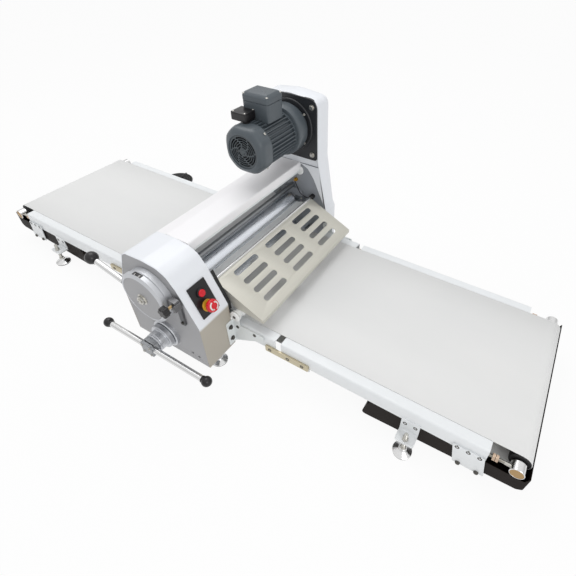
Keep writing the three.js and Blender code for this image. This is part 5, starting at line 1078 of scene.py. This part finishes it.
def stub_frames():
    """The frames fixed to the head: rails, bed, brackets with their screws, and rest spools."""
    outline = rounded([(160.3, 70, 3), (282.3, 136, 3), (282.3, 157, 2), (192, 157, 4), (192, 208, 12),
        (168, 208, 12), (168, 190, 6), (160.3, 172, 2)])
    end = rounded([(287, 70, 0), (318, 70, 6), (318, 172, 6), (287, 172, 0)])
    plates = drawn(outline, 287, 290)
    plates.join(drawn(end, 160.3, 163.3, "YZ"), slab((178.6, 270.1), (283, 287.1), (145, 155.4)))
    screws = joined(pan_head((x, 290, 147), Y, 6, 3) for x in (182, 249))
    for z in (147, 96):
        screws.join(washer((163.3, 303, z), X, 4, 8.4, 1.2), socket_screw((164.4, 303, z), X, 6, 5))
    dimple = turned([(0, 290), (3.4, 290), (2.8, 290.6), (0, 291)], (202, 0, 117), Y, 20)
    spool = turned([(4, 263), (18, 263), (18.2, 264), (17.6, 267), (14, 268.4), (14, 281.6), (17.6, 283),
        (17.6, 286.8), (4, 286.8), (4, 263)], SPOOL, Y, 48)
    spool.join(turned([(4, 290.2), (18.4, 290.2), (18.8, 291.2), (18, 294), (15, 296), (9, 297), (8, 295.6),
        (4, 295.6), (4, 290.2)], SPOOL, Y, 48))
    rails = rail_pair(STUB_START, STUB_END).join(both_sides(slab((289, 319), (280, 283), (92, 109))))
    pair("stub_rails", rails, "white_paint", 0.5, BASE, "stub_frame_{}")
    sheet = bed(100, STUB_END, (180.7, 282.75))
    pair("stub_bed", sheet, "stainless", 0.5)
    pair("stub_brackets", both_sides(plates), "stainless/bracket", 0.5)
    pair("stub_bracket_screws", both_sides(screws), "steel/black", 0.15)
    pair("stub_bracket_dimples", both_sides(dimple), "stainless/bracket", 0)
    pair("rest_spools", both_sides(spool), "nylon", 0.3)
    pins = turned([(0, 262), (5.4, 262), (5.4, 296.2), (4.6, 297.4), (0, 297.4)], SPOOL, Y, 24)
    pair("rest_spool_pins", both_sides(pins), "steel/black", 0.3)


def table_frames():
    """The folding frames: rails, bed, link bars, foot brackets, end plates and their screws."""
    link = rounded([(LINK_START, 100, 3), (LINK_END, 100, 6), (LINK_END, 124, 6), (LINK_START, 124, 3)])
    link = drawn(link, 283.3, 290.3)
    pin = [(0, 282), (6.4, 282), (6.4, 290.7), (5.6, 290.9), (3.4, 290.9, 1), (3.2, 288.4, 1), (0, 288.4)]
    pins = joined(turned(pin, (x, 0, PIVOT_Z), Y, 24) for x in (PIVOT_X, 371, 423))
    foot = drawn(oblong((745, 799), (60, 116)), 283, 286)
    foot.join(drawn(rounded([(745, 283, 0), (799, 283, 0), (799, 324, 8), (745, 324, 8)]), 60, 66, "XY"))
    lips = slab((356, 445), (280, 283), (92, 109))
    screw = [(0, -2), (6.2, -2), (6.2, 0.1), (5.4, 0.5), (3.2, 0.5, 1), (3, -1.6, 1), (0, -1.6)]
    spots = [(757, 286, 96), (787, 286, 96), (898, 289, 118), (927, 289, 118), (956, 289, 118)]
    fixings = joined(turned(screw, spot, Y, 24) for spot in spots)
    for x in (914, 963):
        fixings.join(turned([(0, 289), (6.6, 289), (6.6, 291), (5.6, 293.6), (3.2, 295), (0, 295.4)],
            (x, 0, 51), Y, 28))
    plate = drawn(rounded([(899, 46, 4), (982, 46, 4), (968, 124, 2), (885, 124, 2)]), 286, 289)
    plate.join(slab((891, 962), (283, 286.2), (109, 122)))
    tab = pierced(oblong((260, 281.4), (112, 155)), [circle(271, 128, 5.6, 20)], 961, 965, "YZ", 0.3)
    nuts = hex_head((772, 311, 66.1), Z, 9.4, 8)
    rails = rail_pair(OUTER_START, OUTER_END).join(both_sides(lips))
    pair("table_rails", rails, "white_paint", 0.5, "{}_table", "table_frame_{}")
    sheet = bed(OUTER_START, 988, (355.5, 562.5, 769.4, 938.7))
    pair("table_bed", sheet, "stainless", 0.5, "{}_table")
    pair("link_bars", both_sides(link), "stainless/bar", 0.9, "{}_table")
    pair("link_screws", both_sides(pins), "steel/black", 0.15, "{}_table")
    pair("foot_brackets", both_sides(foot), "white_paint", 0.5, "{}_table")
    pair("end_plates", both_sides(plate), "white_paint", 0.6, "{}_table")
    pair("table_screws", both_sides(fixings), "steel/black", 0.15, "{}_table")
    pair("tension_tabs", both_sides(tab), "stainless", 0, "{}_table")
    pair("foot_lock_nuts", both_sides(nuts), "steel/zinc", 0.2, "{}_table")


def belt_loop():
    """The belt's outer line: two arcs of radius 22 and 29 and their tangents, and its outward normals.

    The lower tangent touches both arcs at twice the slope between their centres, less a quarter turn.
    """
    near, far = (np.array(axis, float)[[0, 2]] for axis in (DRIVE_ROLLER, END_ROLLER))
    slope = math.atan2(far[1] - near[1], far[0] - near[0])
    low = 2 * slope - math.pi / 2
    first = np.linspace(math.pi / 2, low, 40)
    last = np.linspace(low, -1.5 * math.pi, 30)
    turn_far = np.stack([np.cos(first), np.sin(first)], 1)
    turn_near = np.stack([np.cos(last), np.sin(last)], 1)
    arc_far, arc_near = far + 29 * turn_far, near + 22 * turn_near
    share = np.linspace(0, 1, 150)[1:-1, None]
    under = arc_far[-1] + share * (arc_near[0] - arc_far[-1])
    over = arc_near[-1] + share * (arc_far[0] - arc_near[-1])
    line = np.vstack([arc_far, under, arc_near, over])
    normal = np.vstack([turn_far, np.repeat(turn_far[-1:], len(share), 0), turn_near,
        np.repeat(turn_near[-1:], len(share), 0)])
    return line, normal


def belts():
    """The two belts, a thin section carried round the loop, and the drums of the end rollers."""
    line, normal = belt_loop()
    section = np.array([(0, -249.4), (0, -83), (0, 83), (0, 249.4), (0.6, 250), (1.2, 250), (1.7, 249.4),
        (1.7, -249.4), (1.2, -250), (0.6, -250)])
    flat = line[:, None, :] - section[None, :, 0, None] * normal[:, None, :]
    points = in_plane(flat, np.broadcast_to(section[None, :, 1], flat.shape[:2]), "XZ")
    loop = Shell(points, grid_faces(len(line), len(section), True))
    loops = pair("conveyor_belt", loop, "belt_white", 0, None, "table_belt_{}", 50)
    for belt, (side, sign) in zip(loops, SIDES):
        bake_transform(belt)
    drum = turned([(9.3, -252), (22, -252), (26, -251.4), (27, -250), (27, 250), (26, 251.4), (22, 252),
        (9.3, 252), (9.3, -252)], END_ROLLER, Y, 64)
    pair("end_roller_drum", drum, "rubber", 0.3, "{}_end_roller_set", "end_roller_{}")


def take_ups():
    """The bushes at the tables' ends, their axle, and the screws and nuts that tighten the belts."""
    at = END_ROLLER
    blocks = turned([(0, 257), (18, 257), (19, 258.4), (19, 283.8), (18, 285), (16.8, 285), (16.6, 284),
        (0, 284)], at, Y, 56)
    face = turned(rod(16.4, 283.6, 284.5), at, Y, 48)
    axle = turned(rod(9, -258, 258), at, Y, 32)
    screw = threaded(5, 1.5, (0, 271, 128), X, 954, 1021, 18)
    screw.join(turned(rod(5, 1010, 1030), (0, 271, 128), X, 20))
    nut = [(5.2, 0), (9.6, 0, 0.2), (10.4, 0.8, 1), (10.4, 6.2, 1), (9.6, 7, 0.2), (5.2, 7), (5.2, 0)]
    nuts = joined(turned(nut, (x, 271, 128), X, 24) for x in (980, 988))
    pair("take_up_blocks", both_sides(blocks), "chrome", 0.4, "{}_take_up_set", "take_up_{}")
    pair("take_up_faces", both_sides(face), "steel/bronze", 0.2, "{}_take_up_set")
    pair("take_up_axle", axle, "steel", 0.3, "{}_take_up_set")
    pair("take_up_screws", both_sides(screw), "steel/zinc", 0, "{}_take_up_set")
    pair("take_up_nuts", both_sides(nuts), "steel/copper", 0.2, "{}_take_up_set")


def trays():
    """The crumb trays: a sheet bent along its path, with a wall at each side."""
    path = [(1074.9, 128, 0), (1072.8, 68, 9), (1059, 57, 9), (625, 30, 12), (640, 90, 0)]
    floor = bent(rounded(path, closed=False), strip(282, 1.5))
    corners = rounded(path, closed=False).tolist() + [(644, 90), (646, 105.6), (1066, 105.6), (1072.6, 127)]
    ends = both_sides(drawn(corners, 280.4, 281.9))
    pair("tray_sheet", floor.join(ends), "tray_black", 0.3, "{}_table", "catch_tray_{}")


def feet():
    """The feet below the head and the tables: cone, pad, threaded stem and lock nuts."""
    cone = turned([(0, 2.6), (27.2, 2.6), (28, 3.4), (28, 5.4), (26.8, 6.4), (12.6, 13.6), (10.6, 15.4),
        (10, 17), (10, 20), (8.8, 21), (0, 21)], (0, 0, 0), Z, 56)
    pad = turned([(0, 0), (26.6, 0), (27.4, 0.8), (27.4, 2.8), (0, 2.8)], (0, 0, 0), Z, 48)
    stem = threaded(6, 1.5, (0, 0, 0), Z, 20.5, 92, 18)
    jam = hex_head((0, 0, 20.6), Z, 9.4, 7)
    forms = (("cone", cone, "chrome", None), ("pad", pad, "rubber", None),
        ("stem", stem, "steel/zinc", "chrome"), ("jam_nut", jam, "steel/zinc", "chrome"))
    for side, sign in SIDES:
        for row, way in ROWS:
            for place, x, y in (("head", 128, 346), ("table", 772, 311)):
                foot = f"{place}_foot_{side}_{row}"
                for word, shell, finish, slot in forms:
                    moved = Shell(shell.points + (x * sign, y * way, 0), shell.faces)
                    piece(f"{place}_foot_{word}_{side}_{row}", moved, finish, 0 if word == "stem" else 0.3,
                        foot + "_set", foot if word == "cone" else "")
    nuts = joined(hex_head((x, y, 66.2), Z, 9.4, 8) for x in (-128, 128) for y in (-346, 346))
    piece("head_foot_lock_nuts", nuts, "steel/zinc", 0.2)


# ---------------------------------------------------------------- motor

MOTOR_X, MOTOR_Z = 8.0, 571.0


def motor_ring(reach, t):
    """Points round the motor's axis at a reach for each angle."""
    return np.stack([MOTOR_X + reach * np.cos(t), MOTOR_Z + reach * np.sin(t)], -1)


def round_square(half, roundness, t):
    """The reach of a square with cut corners, eased towards a circle: the three flats' reaches are
    joined by the inverse power mean of order 16."""
    c, s = np.abs(np.cos(t)) + 1e-6, np.abs(np.sin(t)) + 1e-6
    flats = ((half / c) ** -16.0 + (half / s) ** -16.0 + (half * 1.5 / (c + s)) ** -16.0) ** (-1 / 16)
    return flats * (1 - roundness) + half * roundness


def fan_cover():
    """The fan's cover, a loop of round squares that shrinks forwards and folds in, with its grille."""
    t = np.linspace(0, TURN, 144, endpoint=False)
    rows = [(74.7, 75, 0), (74.7, 77, 0), (46, 77, 0), (38, 76.4, 0.04), (32, 74.6, 0.14), (27.4, 71.6, 0.34),
        (24, 67.4, 0.62), (21.6, 62.6, 0.9), (20.2, 59.6, 1), (20, 58, 1), (20.4, 56.8, 1), (24, 56.2, 1),
        (26, 57, 1), (29, 66, 0.62), (36, 72, 0.2), (44, 75, 0)]
    grid = [in_plane(motor_ring(round_square(half, roundness, t), t), y, "XZ") for y, half, roundness in rows]
    cover = Shell(np.stack(grid), grid_faces(len(rows), len(t), True))
    holes = []
    for ring, (r, sectors) in enumerate(((17, 5), (24.5, 6), (32, 6), (39.5, 6), (47, 6))):
        step = TURN / sectors
        for k in range(sectors):
            half = (step - 5.0 / r) / 2
            a = np.linspace(-half, half, 9) + k * step + 0.15 * ring
            way = np.stack([np.cos(a), np.sin(a)], 1)
            holes.append(np.vstack([(r + 2.6) * way, (r - 2.2) * way[::-1]]) + (MOTOR_X, MOTOR_Z))
    grille = pierced(circle(MOTOR_X, MOTOR_Z, 57, 96), holes, 22.6, 24.6, edge=0.4)
    grille.join(turned([(0, 20.4), (7, 20.4, 1), (8.6, 21.4, 1), (9.4, 23, 0.3), (9.4, 24, 0), (0, 24)],
        (MOTOR_X, 0, MOTOR_Z), Y, 36))
    t = t[::3]
    back = pierced(motor_ring(round_square(73.4, 0, t), t), [circle(MOTOR_X, MOTOR_Z, 66, 72)], 72.8, 74.4)
    piece("fan_cover_back", back, "motor_grey/dark", 0)
    piece("fan_cover_shell", cover, "motor_grey", 0, BASE, "motor_fan_cover", 40)
    piece("fan_grille", grille, "motor_grey/dark", 0)


def motor():
    """The finned body, the end bell, the adaptor's casting and the bolts round the axis."""
    at = (MOTOR_X, 0, MOTOR_Z)
    count, root, tip = 36, 68.0, 78.0
    middle = (np.arange(count) + 0.5)[:, None] * TURN / count
    spread = np.array((-2.9, -1.7, -1.3, 1.3, 1.7, 2.9)) / 70
    reach = np.array((root, root + 2, tip, tip, root + 2, root)) + 0 * middle
    finned = drawn(motor_ring(reach, middle + spread).reshape(-1, 2), 75.2, 214.9)
    finned.join(turned([(0, 76), (74.6, 76), (74.6, 82), (66, 84), (66, 206), (76.5, 208), (76.5, 214.8),
        (0, 214.8)], at, Y, 72))
    pad = slab((MOTOR_X - 40, MOTOR_X + 34), (104, 194), (626, 641))
    piece("motor_fins", finned.join(pad), "motor_grey", 0.3, BASE, "motor_body")
    bell = turned([(0, 215.2), (72, 215.2), (84, 215.6), (87.6, 217.4), (89, 221), (89, 240), (88.2, 243),
        (88.2, 260), (86, 268), (80, 275.4), (77, 279), (76, 285.5), (0, 285.5)], at, Y, 120)
    piece("motor_bell", bell, "motor_grey", 0.4, BASE, "motor_end_bell", 40)
    outline = rounded([(-102.2, 452, 14), (118.2, 452, 14), (118.2, 676, 34), (8, 679.8, 200),
        (-102.2, 676, 34)])
    lip = [(77, 281.8), (92, 281.8), (94.6, 284), (95.4, 288.4), (77, 288.4), (77, 281.8)]
    plate = drawn(outline, 288.2, 297.6).join(turned(lip, at, Y, 96))
    piece("adaptor_casting", plate, "motor_black", 1.6, BASE, "motor_adaptor_plate")
    def ring_of(degrees, radius, y):
        for angle in np.radians(degrees):
            way = (math.cos(angle), 0, math.sin(angle))
            yield (MOTOR_X + radius * way[0], y, MOTOR_Z + radius * way[2]), way
    bolts = Shell()
    for x in (-91, 91):
        for z in (-97, 78):
            bolts.join(washer((MOTOR_X + x, 288.2, MOTOR_Z + z), NEAR, 4.2, 10, 1.4),
                hex_head((MOTOR_X + x, 286.9, MOTOR_Z + z), NEAR, 8, 5.6))
    bolts.join(*(socket_screw(spot, NEAR, 4.6, 4) for spot, _ in ring_of((38, 142, 218, 322), 85, 277.5)),
        *(pan_head(spot, way, 4.4, 2.6) for spot, way in ring_of((45, 135, 225, 315), 83.4, 66)))
    piece("motor_bolts", bolts, "steel/zinc", 0.15)
    fan_cover()


def boxed(x, y, rows, radius):
    """A box with rounded upright corners: one rounded rectangle a row, each drawn in by its own inset."""
    def level(z, d):
        corners = oblong((x[0] + d, x[1] - d), (y[0] + d, y[1] - d), radius - min(d, radius - 2))
        return in_plane(rounded(corners, 6), z, "XY")
    return tube(np.stack([level(*row) for row in rows]))


def motor_boxes():
    """The terminal box with its gland, and the small switch housing before it."""
    body = boxed((-50, 53), (108, 190), [(640, 4), (643, 1), (699.4, 0.4), (700.2, 2.2), (701.8, 2.2),
        (702.4, 0), (716.5, 0), (719, 1.2), (726.4, 8), (728, 10.4)], 11)
    gland = turned([(0, 49.6), (11.4, 49.6, 1), (11.4, 53, 1), (10.4, 53.8, 0.2), (8, 54), (8, 57),
        (9.4, 57.4, 1), (9.4, 61.4, 1), (8.4, 62.6, 0.2), (5.2, 63.8), (0, 63.8)], (0, 149, 702), LEFT, 36)
    piece("terminal_housing", body.join(gland), "motor_grey", 0.3, BASE, "terminal_box")
    lead = boxed((-60, 0), (60, 116), [(651, 1.5), (653, 0), (673.6, 0), (674.2, 1), (675.2, 1), (675.8, 0),
        (677, 0.4), (678, 2)], 5)
    sleeve = turned([(0, 646), (13, 646), (13, 647.4), (11.6, 648.4), (13, 649.4), (13, 652), (0, 652)],
        (-8, 72, 0), Z, 32)
    piece("switch_housing", lead.join(sleeve), "black_plastic", 0.3)
    screws = joined(pan_head((x, y, 721.6), Z, 4.4, 2.8) for x in (-44, 47) for y in (114, 184))
    screws.join(*(pan_head((x, y, 677.4), Z, 3.4, 2.0) for x, y in ((-53, 67), (-7, 67), (-7, 109))))
    piece("box_screws", screws, "steel/zinc", 0.15)


# ---------------------------------------------------------------- solids that keep their own shape

KEPT = {"head_frame": ("grey_paint", 0.8), "column_plate": ("silver_paint", 0.6),
    "carriage_near": ("grey_paint", 0.6), "carriage_far": ("grey_paint", 0.6),
    "motor_rotor": ("motor_black", 0.4), "drive_belt": ("rubber", 0.5)}


def dress_kept():
    """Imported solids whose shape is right: a finish, merged corners and rounded edges."""
    for node, (finish, width) in KEPT.items():
        thing = bpy.data.objects[node]
        thing.data.materials.clear()
        thing.data.materials.append(FINISHES[finish])
        weld = thing.modifiers.new("merged corners", "WELD")
        weld.merge_threshold = 1e-5
        round_edges(thing, width, 40, use_clamp_overlap=True)


# ---------------------------------------------------------------- floor, air and lamps

AIR_LEVEL, FLOOR_GLOW, FLOOR_HALF = 0.62, 0.93, 9
SKY = [(0.0, (0.75, 0.75, 0.76, 1)), (0.12, (0.6, 0.6, 0.612, 1)), (0.32, (0.75, 0.75, 0.765, 1)),
    (0.6, (0.95, 0.95, 0.969, 1)), (1.0, (1, 1, 1, 1))]
LAMPS = (("overhead_lamp", (-0.9, 0.5, 3.0), (0.0, 0.0, 0.2), 2.2, 34.0),
    ("side_lamp", (2.6, -1.6, 1.6), (0.1, 0.0, 0.3), 1.6, 19.0))


def set_room():
    """A pale floor that keeps soft shadows, white air seen by the eye and by gloss, and two soft lamps."""
    mesh = bpy.data.meshes.new("floor")
    corners = [(x * FLOOR_HALF, y * FLOOR_HALF, 0) for x, y in ((-1, -1), (1, -1), (1, 1), (-1, 1))]
    mesh.from_pydata(corners, [], [(0, 1, 2, 3)])
    r = Recipe("floor_white")
    r.finish(Base_Color=(0.9, 0.9, 0.9, 1), Roughness=0.9, Specular_IOR_Level=0.0)
    share = r.rays("Camera", "Glossy", "Transmission").at_most(1.0) * FLOOR_GLOW
    glow = r.add("Emission", sockets={"Color": (1, 1, 1, 1), "Strength": 1.0})
    lit = r.add("MixShader", sockets={0: share, 1: Value(r.tree, r.surface.outputs[0]), 2: glow})
    r.fill(r.tree.nodes["Material Output"], {0: lit})
    mesh.materials.append(r.material)
    put("floor", mesh)

    world = bpy.data.worlds.new("air")
    bpy.context.scene.world = world
    air = Nodes(world)
    eye, gloss = air.rays("Camera"), air.rays("Glossy", "Transmission")
    height = air.add("SeparateXYZ", sockets={0: air.add("TexCoord", output="Generated")}, output="Z")
    band = air.add("ValToRGB", {"stops": SKY}, {0: height})
    level = eye + (1 - eye) * (gloss * band + (1 - gloss) * AIR_LEVEL)
    air.fill(air.tree.nodes["Background"], {"Strength": level, "Color": (1, 1, 1, 1)})
    for name, place, aim, size, power in LAMPS:
        data = bpy.data.lights.new(name, "AREA")
        data.shape, data.size, data.energy = "SQUARE", size, power
        lamp = put(name, data)
        lamp.location = place
        lamp.rotation_euler = (Vector(aim) - Vector(place)).to_track_quat("-Z", "Y").to_euler()


# ---------------------------------------------------------------- the whole machine

for make in (set_camera, power_lead, covers, bridge, rollers, dial, stop_clamp, selector, panel, guards,
        stub_frames, table_frames, belts, take_ups, trays, feet, motor, motor_boxes, dress_kept, set_room):
    make()
bpy.context.scene.view_settings.view_transform = "Standard"
